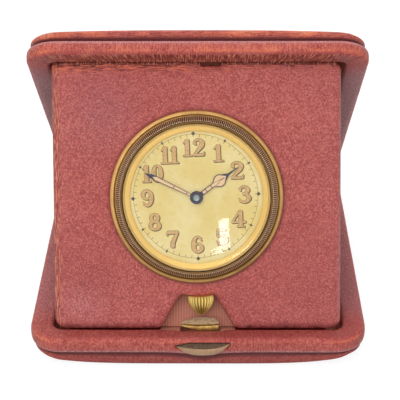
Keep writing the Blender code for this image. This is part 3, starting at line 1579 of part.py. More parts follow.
def build():
    """Make every body's empty and hang its pieces on it."""
    clear_scene()
    lower = frame("lower_cover_frame", place=(0, COVER_MIDDLE, COVER_DEPTH))
    over = Matrix.Rotation(-OPEN_ANGLE, 4, "X") @ Matrix.Rotation(math.pi, 4, "Y")
    upper = frame("upper_cover_frame", lower, turn=over)
    catch = frame("catch_frame", lower)

    rim = add("lower_rim", rim_mesh("lower_rim"), lower, "red_leather")
    add("lower_pad", pad_mesh("lower_pad", LOWER_PAD_EDGE, LOWER_PAD_CROWN), lower, "red_leather")
    add("lower_lining", lining_mesh("lower_lining"), lower, "red_lining")
    hinge_leaf("lower_hinge_leaf", lower, 0)
    hinge_pin(lower)
    front_catch(lower, catch, rim)
    foot_rests(lower)

    upper_rim = add("upper_rim", rim_mesh("upper_rim", HINGE_LIP_EXTRA), upper, "red_leather")
    add("upper_pad", pad_mesh("upper_pad", UPPER_PAD_EDGE, UPPER_PAD_CROWN), upper, "red_leather")
    add("upper_lining", lining_mesh("upper_lining"), upper, "red_lining")
    hinge_leaf("upper_hinge_leaf", upper, 1)
    strip = hinge_strip(upper)
    cut_keeper(upper_rim, strip, upper)

    board_turn = Matrix.Rotation(math.radians(90.0) - BOARD_LEAN, 4, "X")
    board_frame = frame("clock_board_frame", lower, (0, AXIS_Y, AXIS_Z), board_turn)
    board = clock_board(board_frame)
    board_backing(board_frame)

    turn = Matrix.Rotation(CLOCK_TURN, 4, "Z")
    clock = frame("clock_frame", board_frame, (CLOCK_SHIFT, -CLOCK_DROP, 0), turn)
    minute = frame("minute_frame", clock)
    hour = frame("hour_frame", clock)
    clock_case(clock)
    bezel(clock)
    dial_and_plate(clock)
    places = going_train(clock)
    centre_arbor(minute)
    bridges(clock, places)
    runner = frame("minute_wheel_frame", clock, (*polar(MOTION_DISTANCE, MOTION_BEARING), 0))
    motion_work(clock, minute, hour, runner)
    hands(minute, hour)
    turner = frame("winding_frame", clock, (0, 0, STEM_LEVEL))
    puller = frame("crown_frame", turner)
    winding(clock, turner, puller, board)


build()
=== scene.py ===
"""Looks of the folding travel clock: leather skins, dial printing, filled hands, lamps and camera."""

import json
import math

import bmesh
import bpy
import numpy as np
from mathutils import Matrix, Vector, noise
from mathutils.geometry import delaunay_2d_cdt

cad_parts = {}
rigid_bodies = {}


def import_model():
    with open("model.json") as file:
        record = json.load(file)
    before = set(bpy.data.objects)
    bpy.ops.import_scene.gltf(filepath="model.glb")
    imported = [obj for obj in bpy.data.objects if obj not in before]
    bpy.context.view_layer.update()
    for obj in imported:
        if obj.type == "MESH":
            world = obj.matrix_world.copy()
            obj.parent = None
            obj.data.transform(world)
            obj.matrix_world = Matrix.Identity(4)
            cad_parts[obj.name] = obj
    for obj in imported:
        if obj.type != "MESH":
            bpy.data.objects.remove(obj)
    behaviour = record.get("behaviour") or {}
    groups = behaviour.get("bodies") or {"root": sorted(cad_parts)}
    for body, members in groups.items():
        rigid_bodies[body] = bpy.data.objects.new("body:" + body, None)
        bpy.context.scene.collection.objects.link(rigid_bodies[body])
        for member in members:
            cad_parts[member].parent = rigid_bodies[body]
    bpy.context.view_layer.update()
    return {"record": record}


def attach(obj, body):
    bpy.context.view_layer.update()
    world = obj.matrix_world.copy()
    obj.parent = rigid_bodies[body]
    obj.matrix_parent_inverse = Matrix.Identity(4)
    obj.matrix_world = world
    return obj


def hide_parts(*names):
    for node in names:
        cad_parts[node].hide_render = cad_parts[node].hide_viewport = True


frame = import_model()
JOINTS = {joint["name"]: joint for joint in frame["record"]["behaviour"]["joints"]}
MM = 0.001

# Sizes of the case, as the frame has them, in metres
COVER_WIDTH = 0.0880
COVER_REACH = 0.0920
BACK_INSET = 0.0016
OPEN_ANGLE = math.radians(46.8)
RIM_HEIGHT = 0.0042
LIP_WIDTH = 0.0046
LIP_EDGE = 0.0014
FRONT_CORNER = 0.0085
BACK_CORNER = 0.0060
SEAM_INSET = 0.0012
BOARD_WIDTH = 0.0745
BOARD_LENGTH = 0.068533
BOARD_BEAD = 0.0010
BOARD_BACK = -0.00365
BOARD_CORNER = 0.0028
PAD_ROUND = 0.0009
PAD_BULGE = 0.00035
PAD_FLAT_INSET = 0.0230
PAD_SINK = 0.0185
CAVITY_INSET = 0.0052
CAVITY_DEPTH = 0.0081
CAVITY_CORNER = 0.0008
SIDE_LIP_EXTRA = 0.0014
HOLE_RADIUS = 0.0196
NOTCH_HEIGHT = 0.0090
NOTCH_TOP_WIDTH = 0.0090
NOTCH_FOOT_WIDTH = 0.0196
NOTCH_TOP_ROUND = 0.0016
NOTCH_FOOT_ROUND = 0.0024
DIAL_FACE = 0.0025
BUTTON_MIDDLE = 0.0014
BUTTON_HALF = 0.00685
BUTTON_TOP = -0.0013
HOOK_FOOT = -0.0030
HOUR_REACH = 0.0131
MINUTE_REACH = 0.0145


def tone(red, green, blue):
    """A colour as it is seen, from 0 to 255, as the linear colour that a shader takes."""
    shares = [c / 255 for c in (red, green, blue)]
    return (*(s / 12.92 if s < 0.0404 else ((s + 0.055) / 1.055) ** 2.4 for s in shares), 1.0)


# ---------------------------------------------------------------- finishes


class Value:
    """A number that changes over a surface. Sums on it add Math nodes."""

    def __init__(self, finish, socket):
        self.finish = finish
        self.socket = socket

    def sum(self, operation, first, second):
        """One Math node over two numbers."""
        return self.finish.value("ShaderNodeMath", {"operation": operation}, {0: first, 1: second})

    def __add__(self, other):
        return self.sum("ADD", self, other)

    def __radd__(self, other):
        return self.sum("ADD", other, self)

    def __sub__(self, other):
        return self.sum("SUBTRACT", self, other)

    def __rsub__(self, other):
        return self.sum("SUBTRACT", other, self)

    def __mul__(self, other):
        return self.sum("MULTIPLY", self, other)

    def between(self, low, high):
        """Zero up to low, one from high on, and a smooth rise between them."""
        return self.finish.value(
            "ShaderNodeMapRange",
            {"interpolation_type": "SMOOTHSTEP"},
            {"Value": self, "From Min": low, "From Max": high},
        )


class Finish:
    """A Principled material and the nodes that vary it."""

    def __init__(self, name, **constants):
        self.material = bpy.data.materials.new(name)
        self.material.use_nodes = True
        self.tree = self.material.node_tree
        self.shader = self.tree.nodes["Principled BSDF"]
        self.set(**constants)

    def set(self, **sockets):
        """Feed the shader's sockets, named with underscores for spaces."""
        for key, value in sockets.items():
            self.feed(self.shader.inputs[key.replace("_", " ")], value)
        return self

    def feed(self, socket, value):
        """Link a value or an output to a socket, or set its number."""
        if isinstance(value, Value):
            value = value.socket
        if isinstance(value, bpy.types.NodeSocket):
            self.tree.links.new(value, socket)
        else:
            socket.default_value = value

    def node(self, kind, settings=None, inputs=None):
        """Any node, with its settings first and then the numbers or links of its sockets."""
        made = self.tree.nodes.new(kind)
        for key, setting in (settings or {}).items():
            setattr(made, key, setting)
        for key, value in (inputs or {}).items():
            self.feed(made.inputs[key], value)
        return made

    def value(self, kind, settings=None, inputs=None, output=0):
        """Any node, as the number that one of its outputs gives."""
        return Value(self, self.node(kind, settings, inputs).outputs[output])

    def place(self):
        """Where a point of the piece is, in metres."""
        return self.node("ShaderNodeTexCoord").outputs["Object"]

    def run(self):
        """Length along an edge and across it, in metres."""
        return self.node("ShaderNodeUVMap", {"uv_map": "run"}).outputs[0]

    def spread(self, name):
        """A weight that the mesh carries point by point."""
        return self.value("ShaderNodeAttribute", {"attribute_name": name}, output="Fac")

    def stretch(self, vector, sizes):
        """Coordinates counted in the given sizes."""
        counts = [1 / size for size in sizes]
        return self.node("ShaderNodeMapping", None, {"Vector": vector, "Scale": counts}).outputs[0]

    def noise(self, vector, size, detail=3.0, roughness=0.55):
        """Soft clouds of about a size, from 0 to 1."""
        return self.value(
            "ShaderNodeTexNoise",
            None,
            {"Vector": vector, "Scale": 1 / size, "Detail": detail, "Roughness": roughness},
            "Fac",
        )

    def cells(self, vector, size, feature="DISTANCE_TO_EDGE", output="Distance"):
        """Cells of about a size: how far their edges are, or another of the node's outputs."""
        inputs = {"Vector": vector, "Scale": 1 / size}
        return self.value("ShaderNodeTexVoronoi", {"feature": feature}, inputs, output)

    def mix(self, factor, first, second):
        """Two colours mixed by a factor."""
        return self.node("ShaderNodeMix", {"data_type": "RGBA"}, {0: factor, 6: first, 7: second}).outputs[2]

    def bump(self, height, depth, under=None):
        """The surface normal over a height of 0 to 1, depth metres deep."""
        inputs = {"Height": height, "Distance": depth}
        if under is not None:
            inputs["Normal"] = under
        return self.node("ShaderNodeBump", None, inputs).outputs[0]


RED_DEEP = tone(164, 50, 48)
RED = tone(190, 78, 70)
RED_PALE = tone(208, 104, 94)
# A pale mauve for painted sheen
PAINTED_SHEEN_MAUVE = tone(196, 150, 157)
# Dark red of the grain's cracks, and of painted shade
CRACK_AND_SHADE_RED = tone(84, 20, 22)
RED_SHEEN = tone(226, 160, 152)
WORN = tone(216, 110, 80)
WORN_PALE = tone(234, 160, 124)
# Painted highlight on the pleats' ridges, and painted shade in their valleys and between fray threads
PLEAT_HIGHLIGHT = tone(246, 162, 130)
CREASE_SHADE = tone(112, 34, 30)
GRAIN = 0.00050
SILK = tone(236, 166, 142)
SILK_DEEP = tone(166, 98, 84)
SILK_CLOUD = tone(196, 136, 122)
# Painted light for the silk at the tray's front, and a dark red of painted shade beside the notch
SILK_LIT = tone(255, 184, 158)
SILK_SHADE_RED = tone(134, 36, 36)
SILK_PITCH = 0.00042


def leather(name, pleat_size=0.00034):
    """Grained red goatskin: patches, pebbles in a pale and dark net, pleats, fray and worn edges, with painted sheen,
    painted shade, and a painted highlight and shade on the pleats.
    """
    skin = Finish(name, IOR=1.48)
    place = skin.place()
    run = skin.run()
    wear = skin.spread("wear")
    dusk = skin.spread("dusk")
    grime = skin.spread("grime")
    pleat = skin.spread("pleat")
    fray = skin.spread("fray")
    patches = skin.noise(place, 0.015, 3.0)
    broad = skin.noise(place, 0.034, 2.0)
    blush = skin.noise(place, 0.0046, 4.0, 0.65)
    speck = skin.noise(place, 0.00042, 2.0, 0.7)
    shift = skin.node("ShaderNodeTexNoise", None, {"Vector": place, "Scale": 900.0}).outputs["Color"]
    warped = skin.node(
        "ShaderNodeVectorMath", {"operation": "MULTIPLY_ADD"}, {0: shift, 1: (0.0003,) * 3, 2: place}
    ).outputs[0]
    pebble = skin.cells(warped, GRAIN).between(0.02, 0.24)
    fine = skin.cells(warped, GRAIN * 0.55).between(0.0, 0.30)
    tint = skin.cells(warped, GRAIN, "F1", "Color").between(0.22, 0.78)
    folds = skin.noise(skin.stretch(run, (pleat_size, pleat_size * 8, 1.0)), 1.0, 3.0, 0.6)
    # The pleats' ridges take a painted highlight and their valleys painted shade
    fold = folds.between(0.48, 0.60) * pleat
    valley = (1 - folds.between(0.38, 0.50)) * pleat
    colour = skin.mix(tint, RED_DEEP, RED_PALE)
    colour = skin.mix(0.20 + patches.between(0.36, 0.62) * 0.25, colour, RED)
    colour = skin.mix(blush.between(0.42, 0.72) * 0.5, colour, RED_PALE)
    colour = skin.mix(broad.between(0.48, 0.66) * 0.45, colour, RED_DEEP)
    # Painted sheen in pale mauve where the mesh's weight says so
    colour = skin.mix(dusk * (0.30 + speck * 0.95), colour, PAINTED_SHEEN_MAUVE)
    net = 1 - pebble
    cracks = net * (0.9 - wear * 0.4) * (1 - pleat * 0.5) * (1 - speck.between(0.45, 0.6) * 0.6)
    colour = skin.mix(cracks * (0.34 + patches * 0.5), colour, CRACK_AND_SHADE_RED)
    shine = net * speck.between(0.50, 0.64) * 0.28 + pebble * fine * speck.between(0.58, 0.76) * 0.42
    # More painted sheen, in specks
    shine = shine + dusk * speck.between(0.54, 0.66) * 0.22
    colour = skin.mix(shine, colour, RED_SHEEN)
    # Painted shade where the mesh's weight says so
    colour = skin.mix(grime * (0.6 + speck * 0.6), colour, CRACK_AND_SHADE_RED)
    rub = (wear * 1.1 + blush * 0.9 - 0.5 + (speck - 0.5) * 1.1).between(0.26, 0.6)
    colour = skin.mix(rub * wear.between(0.0, 0.5) * 0.8, colour, WORN)
    bare = (wear + speck * 1.1 + blush * 0.6 - 1.15).between(0.3, 0.6)
    colour = skin.mix(bare * 0.7, colour, WORN_PALE)
    # Painted highlight on the pleats' ridges and painted shade in their valleys
    colour = skin.mix(fold * 0.9, colour, PLEAT_HIGHLIGHT)
    colour = skin.mix(valley * 0.6, colour, CREASE_SHADE)
    threads = skin.noise(skin.stretch(place, (0.0030, 0.00024, 0.00024)), 1.0, 4.0, 0.6)
    colour = skin.mix(fray * threads.between(0.50, 0.55), colour, WORN)
    # Painted shade between the fray's threads
    colour = skin.mix(fray * (1 - threads.between(0.40, 0.50)), colour, CREASE_SHADE)
    # The deepest painted shade goes nearly to the dark red
    colour = skin.mix(grime.between(0.55, 1.0) * 0.9, colour, CRACK_AND_SHADE_RED)
    relief = pebble * 0.7 + fine * 0.3
    normal = skin.bump(relief, 0.00007)
    normal = skin.bump(fold - valley, 0.00012, normal)
    normal = skin.bump(blush, 0.00020, normal)
    rough = 0.46 + blush * 0.16 + wear * 0.1 - pebble * 0.06
    return skin.set(Base_Color=colour, Roughness=rough, Normal=normal)


def ribbed_silk(name):
    """Silk with ribs across x. Where the mesh says shaded, painted light lifts it, and beside the notch it takes a
    dark red of painted shade.
    """
    cloth = Finish(name, IOR=1.3, Specular_IOR_Level=0.15)
    place = cloth.place()
    across = cloth.value("ShaderNodeVectorMath", {"operation": "DOT_PRODUCT"}, {0: place, 1: (1, 0, 0)}, "Value")
    waved = cloth.value("ShaderNodeMath", {"operation": "SINE"}, {0: across * (math.tau / SILK_PITCH)})
    ribs = waved * 0.5 + 0.5
    thread = cloth.noise(place, SILK_PITCH * 0.8, 2.0)
    cloud = cloth.noise(place, 0.006, 3.0)
    shade = cloth.mix(ribs * (0.55 + thread * 0.5), SILK_DEEP, SILK)
    shade = cloth.mix(cloud.between(0.4, 0.7) * 0.3, shade, SILK_CLOUD)
    from_middle = cloth.value("ShaderNodeMath", {"operation": "ABSOLUTE"}, {0: across})
    shaded = cloth.spread("shaded")
    # Painted light where the mesh marks the silk shaded
    shade = cloth.mix(shaded * 0.45, shade, SILK_LIT)
    # Painted shade: dark red beside the notch
    shade = cloth.mix(shaded * from_middle.between(0.0094, 0.0101), shade, SILK_SHADE_RED)
    normal = cloth.bump(ribs * 0.8 + thread * 0.3, 0.00006)
    return cloth.set(Base_Color=shade, Roughness=0.78 + thread * 0.12, Normal=normal)


def metal(name, colour, dark, rough, tarnish, size, scratch):
    """Polished metal with a tarnish in clouds of a size, and fine marks."""
    plate = Finish(name)
    place = plate.place()
    cloud = plate.noise(place, size, 4.0, 0.6)
    marks = plate.noise(place, scratch, 3.0, 0.7)
    stain = cloud.between(0.42, 0.72) * tarnish
    shade = plate.mix(stain, colour, dark)
    shade = plate.mix(marks.between(0.55, 0.8) * 0.25, shade, dark)
    return plate.set(
        Base_Color=shade,
        Metallic=1.0 - stain * 0.35,
        Roughness=rough + stain * 0.25 + marks * 0.1,
        Normal=plate.bump(marks, 0.000012),
    )


def gilt_dial(name):
    """The dial's frosted gilding, paler and mottled where it has aged."""
    face = Finish(name, IOR=1.45)
    place = face.place()
    cloud = face.noise(place, 0.009, 3.0, 0.55)
    mottle = face.noise(place, 0.0016, 4.0, 0.65)
    grain = face.noise(place, 0.00022, 2.0, 0.6)
    shade = face.mix(cloud.between(0.36, 0.64), tone(227, 205, 131), tone(235, 219, 164))
    shade = face.mix(mottle.between(0.5, 0.78) * 0.4, shade, tone(214, 184, 98))
    shade = face.mix(grain.between(0.5, 0.8) * 0.22, shade, tone(196, 164, 88))
    rough = 0.5 + grain * 0.15
    return face.set(Base_Color=shade, Metallic=0.15, Roughness=rough, Normal=face.bump(grain, 0.00001))


def printed(name, colour, worn, size):
    """Printed or painted detail, a little uneven."""
    ink = Finish(name)
    cover = ink.noise(ink.place(), size, 3.0, 0.6)
    return ink.set(
        Base_Color=ink.mix(cover.between(0.4, 0.75) * 0.7, colour, worn),
        Roughness=0.6 + cover * 0.15,
        Normal=ink.bump(cover, 0.00001),
    )


def clear_glass(name):
    """Glass as a thin gloss over what lies under it: 3 percent straight on, and more where it turns away."""
    glass = Finish(name, Roughness=0.02, IOR=1.5, Base_Color=(1, 1, 1, 1))
    smear = glass.noise(glass.place(), 0.004, 3.0)
    gloss = glass.node("ShaderNodeBsdfGlossy", None, {"Color": (1, 1, 1, 1), "Roughness": 0.03})
    through = glass.node("ShaderNodeBsdfTransparent", None, {"Color": (0.99, 0.985, 0.96, 1)})
    turned = glass.value("ShaderNodeLayerWeight", None, {"Blend": 0.5}, "Facing")
    steep = turned * turned
    edge = steep * steep * turned * 0.87 + 0.030 + smear.between(0.6, 0.8) * 0.008
    mixed = glass.node("ShaderNodeMixShader", None, {0: edge, 1: through.outputs[0], 2: gloss.outputs[0]})
    glass.tree.links.new(mixed.outputs[0], glass.tree.nodes["Material Output"].inputs["Surface"])
    return glass


# ---------------------------------------------------------------- mesh helpers

HINGE = Vector(JOINTS["upper_cover_hinge"]["pos_m"])
FOLD_LINE = Vector(JOINTS["board_hinge"]["pos_m"])
CLOCK = Vector(JOINTS["minute_turn"]["pos_m"])
FACING = Vector(JOINTS["minute_turn"]["axis"]).normalized()
DOWN_DIAL = Vector(JOINTS["winding_turn"]["axis"]).normalized()


def axes(across, up, out, origin):
    """A place made of three directions and an origin."""
    made = Matrix((across, up, out)).transposed().to_4x4()
    made.translation = origin
    return made


BOARD_UP = Vector((0, -FACING.z, FACING.y)) * -1
LOWER_PLACE = Matrix.Translation(HINGE)
UPPER_PLACE = LOWER_PLACE @ Matrix.Rotation(-OPEN_ANGLE, 4, "X") @ Matrix.Rotation(math.pi, 4, "Y")
BOARD_PLACE = axes(Vector((1, 0, 0)), BOARD_UP, FACING, FOLD_LINE)
CLOCK_PLACE = axes((-DOWN_DIAL).cross(FACING), -DOWN_DIAL, FACING, CLOCK)
CLOCK_DROP = -(BOARD_PLACE.inverted() @ CLOCK).y
CLOCK_SHIFT = (BOARD_PLACE.inverted() @ CLOCK).x


def piece(name, mesh, finish, body, place=None, smooth=True, sharp=None):
    """A finished piece that rides on a body."""
    if place is not None:
        mesh.transform(place)
    made = bpy.data.objects.new(name, mesh)
    bpy.context.scene.collection.objects.link(made)
    mesh.materials.clear()
    mesh.materials.append(finish.material)
    if smooth:
        mesh.shade_smooth()
    if sharp is not None:
        mesh.set_sharp_from_angle(angle=math.radians(sharp))
    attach(made, body)
    return made


def weigh(mesh, **weights):
    """Store a weight a point for each name."""
    for name, numbers in weights.items():
        layer = mesh.attributes.new(name, "FLOAT", "POINT")
        layer.data.foreach_set("value", np.asarray(numbers, dtype=np.float32).ravel())


def turn_outward(mesh):
    """Turn a closed mesh's faces outward."""
    shape = bmesh.new()
    shape.from_mesh(mesh)
    bmesh.ops.recalc_face_normals(shape, faces=shape.faces)
    shape.to_mesh(mesh)
    shape.free()


def solid_mesh(name, verts, faces):
    """A closed mesh from points and faces, its faces turned outward."""
    mesh = bpy.data.meshes.new(name)
    mesh.from_pydata(verts, [], faces)
    turn_outward(mesh)
    return mesh


def loop_surface(name, points, runs=None, closed=False):
    """A surface over rows of closed rings. closed joins the last ring to the first, or else both ends are filled.

    runs is the length along the rings, the width across them and the slant row by row, kept for pleats.
    """
    rows, count = points.shape[:2]
    faces = []
    for row in range(rows if closed else rows - 1):
        after = (row + 1) % rows
        for i in range(count):
            j = (i + 1) % count
            faces.append((row * count + i, row * count + j, after * count + j, after * count + i))
    if not closed:
        faces.append(tuple(range(count - 1, -1, -1)))
        faces.append(tuple((rows - 1) * count + i for i in range(count)))
    mesh = bpy.data.meshes.new(name)
    mesh.from_pydata(points.reshape(-1, 3).tolist(), [], faces)
    if runs is not None:
        along, across, slant = runs
        layer = mesh.uv_layers.new(name="run")
        uv = np.zeros((len(mesh.loops), 2), dtype=np.float32)
        k = 0
        for row in range(rows if closed else rows - 1):
            low, high = slant[row], slant[(row + 1) % len(slant)]
            for i in range(count):
                a, b = along[i], along[i + 1]
                uv[k : k + 4, 0] = (a + low[i], b + low[i + 1], b + high[i + 1], a + high[i])
                uv[k : k + 2, 1] = across[row]
                uv[k + 2 : k + 4, 1] = across[row + 1]
                k += 4
        layer.data.foreach_set("uv", uv.ravel())
    turn_outward(mesh)
    return mesh


def waves(points, size, seed=0.0):
    """Smooth noise from -1 to 1 at each point."""
    shift = Vector((seed, seed * 1.7, seed * 0.6))
    heights = [noise.noise(Vector(p) / size + shift) for p in points.reshape(-1, 3)]
    return np.array(heights).reshape(points.shape[:-1])


def held(numbers):
    """Numbers held between 0 and 1."""
    return np.clip(numbers, 0, 1)


def hill(numbers, middle, width):
    """One at the middle, falling to nothing on both sides of it."""
    return np.exp(-(((numbers - middle) / width) ** 2))


def cut(target, tools):
    """Cut the tool meshes out of a piece and apply the result."""
    for tool in tools:
        cutter = bpy.data.objects.new("cutter", tool)
        bpy.context.scene.collection.objects.link(cutter)
        change = target.modifiers.new("cut", "BOOLEAN")
        change.object = cutter
        change.operation = "DIFFERENCE"
        change.solver = "EXACT"
        bpy.context.view_layer.update()
        made = bpy.data.meshes.new_from_object(target.evaluated_get(bpy.context.evaluated_depsgraph_get()))
        target.modifiers.clear()
        target.data = made
        bpy.data.objects.remove(cutter, do_unlink=True)


def box_mesh(low, high, place):
    """A box between two corners, put in its place."""
    shape = bmesh.new()
    size = [b - a for a, b in zip(low, high)]
    middle = [(a + b) / 2 for a, b in zip(low, high)]
    bmesh.ops.create_cube(shape, size=1.0, matrix=Matrix.Translation(middle) @ Matrix.Diagonal((*size, 1.0)))
    mesh = bpy.data.meshes.new("box")
    shape.to_mesh(mesh)
    shape.free()
    mesh.transform(place)
    return mesh


# ---------------------------------------------------------------- leather covers

SIDE_STEPS = 64
CORNER_STEPS = 18
BOX = (-COVER_WIDTH / 2, COVER_WIDTH / 2, -COVER_REACH, -BACK_INSET)


def cover_ring(inset, height, soften=0.0):
    """One ring of a cover's plan, from the middle of the back round by the left. soften rounds its corners more."""
    left, right, front, back = BOX
    spots = [
        (left, back, BACK_CORNER, 90.0),
        (left, front, FRONT_CORNER, 180.0),
        (right, front, FRONT_CORNER, 270.0),
        (right, back, BACK_CORNER, 360.0),
    ]
    corners = []
    for x, y, corner, start in spots:
        radius = max(corner - inset, corner * 0.12) + soften
        middle_x = x + (inset + radius) * (1 if x < 0 else -1)
        middle_y = y + (inset + radius) * (1 if y == front else -1)
        angles = np.radians(start + 90.0 * np.arange(CORNER_STEPS + 1) / CORNER_STEPS)
        arc = (middle_x + radius * np.cos(angles), middle_y + radius * np.sin(angles))
        corners.append(np.stack(arc, axis=1))
    start = np.array([[0.0, back - inset]])
    parts = [start]
    before = start[0]
    for corner in corners:
        steps = SIDE_STEPS // 2 if corner is corners[0] else SIDE_STEPS
        shares = (np.arange(1, steps) / steps)[:, None]
        parts.append(before + (corner[0] - before) * shares)
        parts.append(corner)
        before = corner[-1]
    shares = (np.arange(1, SIDE_STEPS // 2) / (SIDE_STEPS // 2))[:, None]
    parts.append(before + (start[0] - before) * shares)
    plan = np.concatenate(parts)
    return np.concatenate([plan, np.full((len(plan), 1), height)], axis=1)


BASE_RING = cover_ring(0.0, 0.0)


def button_dip(plan):
    """How far the front seam dips under the button."""
    return 0.00075 * hill(plan[:, 0], BUTTON_MIDDLE, 0.0058) * (plan[:, 1] < -COVER_REACH + 0.0002)


def lengths_along(points):
    """How far along a line each of its points is, from 0 at the first."""
    return np.concatenate([[0.0], np.cumsum(np.linalg.norm(np.diff(points, axis=0), axis=1))])


RING_RUN = lengths_along(np.concatenate([BASE_RING, BASE_RING[:1]]))


def rim_section(height):
    """Inset and height round the leather covered rim, from its foot up the wall and over the lip."""
    steps = [(LIP_WIDTH, -height), (0.0012, -height), (0.0006, -height + 0.00006)]
    steps += [(0.00022, -height + 0.00028), (0.00005, -height + 0.0006)]
    steps += [(-0.00004, -height + 0.0012), (-0.00005, -0.0021)]
    for i in range(8):
        angle = math.radians(90.0 * i / 7)
        steps.append((LIP_EDGE * (1 - math.cos(angle)), -LIP_EDGE * (1 - math.sin(angle))))
    steps += [(0.0020, -0.00001), (0.0028, -0.00006), (0.0036, -0.00014)]
    turn = 0.0008
    for i in range(6):
        angle = math.radians(90.0 * i / 5)
        steps.append((LIP_WIDTH - turn + turn * math.sin(angle), -0.00018 - turn * (1 - math.cos(angle))))
    steps += [(LIP_WIDTH, -0.0018), (LIP_WIDTH, -0.0030)]
    return steps


def rim_piece(name, place, body, finish, height, front_extra, pleats, rubs, dip, seed, nodes):
    """A cover's rim in leather, its lip front_extra wider at the front, with a rubbed edge and drawn pleats.

    pleats are the shares of pleats on the wall and on the lip, and of painted shade on the lip. rubs are the shares of
    wear on the edge, at the corners and on the front wall, and of painted sheen. dip lowers the front seam under the
    button.
    """
    section = rim_section(height)
    rings = np.stack([cover_ring(*step) for step in section])
    plan = BASE_RING
    front = held((-plan[:, 1] - COVER_REACH + 0.0100) / 0.0060)
    insets = np.array([step[0] for step in section])
    inner = held((insets - LIP_EDGE) / (LIP_WIDTH - LIP_EDGE))
    reach = held((COVER_WIDTH / 2 - 0.0030 - np.abs(rings[:, :, 0])) / 0.0040)
    if dip:
        reach = reach * held((np.abs(rings[:, :, 0] - 0.0006) - 0.0054) / 0.0016)
    rings[:, :, 1] += front_extra * inner[:, None] * (front[None, :] * reach)
    sideward = held((np.abs(plan[:, 0]) - COVER_WIDTH / 2 + FRONT_CORNER) / FRONT_CORNER) ** 0.7
    rings[:, :, 0] -= np.sign(plan[:, 0])[None] * SIDE_LIP_EXTRA * inner[:, None] * sideward[None]
    across = lengths_along(np.array(section))
    across = np.append(across, across[-1] + RIM_HEIGHT)
    soft = waves(rings, 0.009, seed) * 0.00012 + waves(rings, 0.0025, seed + 3) * 0.00006
    free = np.clip(np.minimum(insets + 0.0004, 0.0009) / 0.0009, 0.3, 1)[:, None]
    rings[:, :, 2] += np.where(rings[:, :, 2] > -0.0030, soft * free, 0) - 0.00006
    below = held((-rings[:, :, 2] - 0.0022) / 0.0020) * (insets < 0.0030)[:, None]
    rings[:, :, 2] -= below * dip * button_dip(plan)[None]
    sideways = waves(rings, 0.006, seed + 7) * 0.00007
    wall = (insets < 0.0006)[:, None]
    outward = plan[:, :2] - np.array([0.0, -COVER_REACH / 2])
    outward /= np.linalg.norm(outward, axis=1)[:, None]
    rings[:, :, :2] -= np.where(wall, np.abs(sideways), 0)[:, :, None] * outward[None]
    fan = np.append(plan[:, 0], plan[0, 0]) / (COVER_WIDTH / 2)
    slant = np.outer(np.clip(across - across[10], 0, None), fan * 0.62)
    mesh = loop_surface(name, rings, (RING_RUN, across, slant), closed=True)
    ridge = hill(across[:-1], across[9], 0.0005)
    lip = held((insets - 0.0008) / 0.0003)
    reach_back = held((plan[:, 1] + COVER_REACH - 0.0070) / 0.0100)
    side = held((np.abs(plan[:, 0]) - COVER_WIDTH / 2 + 0.0048) / 0.0024) * reach_back
    corner_x = np.abs(plan[:, 0]) - COVER_WIDTH / 2 + 0.0024
    corner = hill(np.hypot(corner_x, plan[:, 1] + COVER_REACH - 0.0024), 0.0, 0.0070)
    facing = held((-plan[:, 1] - COVER_REACH + 0.0090) / 0.0050)
    patch = 0.6 + 0.8 * waves(rings, 0.007, seed + 11)
    rubbed = ridge[:, None] * (rubs[0] + 0.3 * rubs[1] * corner + 0.15 * facing)[None]
    wall_share = held(1 - insets / 0.0007) * (np.arange(len(section)) > 2)
    wear = (rubbed + (rubs[1] + 0.05) * corner[None] * (1 - lip)[:, None]) * patch
    wear = wear + rubs[2] * wall_share[:, None] * facing[None] * (0.8 + 0.5 * patch)
    pleat = (wall_share * pleats[0])[:, None] * (0.35 + 0.65 * facing)[None]
    pleat = pleat + (lip * pleats[1])[:, None] * held(1.25 * facing - 0.9 * corner)[None]
    # Painted sheen on the side lips, and a painted highlight along the wall just above its foot
    dusk = (0.20 + 0.80 * lip)[:, None] * side[None]
    dusk = dusk * rubs[3] + hill(across[:-1], across[4], 0.00030)[:, None]
    # Painted shade on the lip where it faces forward, away from the corners
    lip_shade = lip[:, None] * held(facing - 0.6 * corner)[None] * pleats[2]
    # Painted shade along the seam at the wall's foot
    grime = hill(across[:-1], across[2], 0.0003)[:, None] * np.ones(len(plan))[None] * 0.8 + lip_shade
    weights = {"wear": wear, "pleat": pleat, "dusk": dusk, "grime": grime, "fray": wear * 0}
    weigh(mesh, **{key: held(weight) for key, weight in weights.items()})
    made = piece(name, mesh, finish, body, place)
    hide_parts(*nodes)
    return made


SEAM_ROWS = 6
WALL_ROWS = 18
CROWN_ROWS = 12


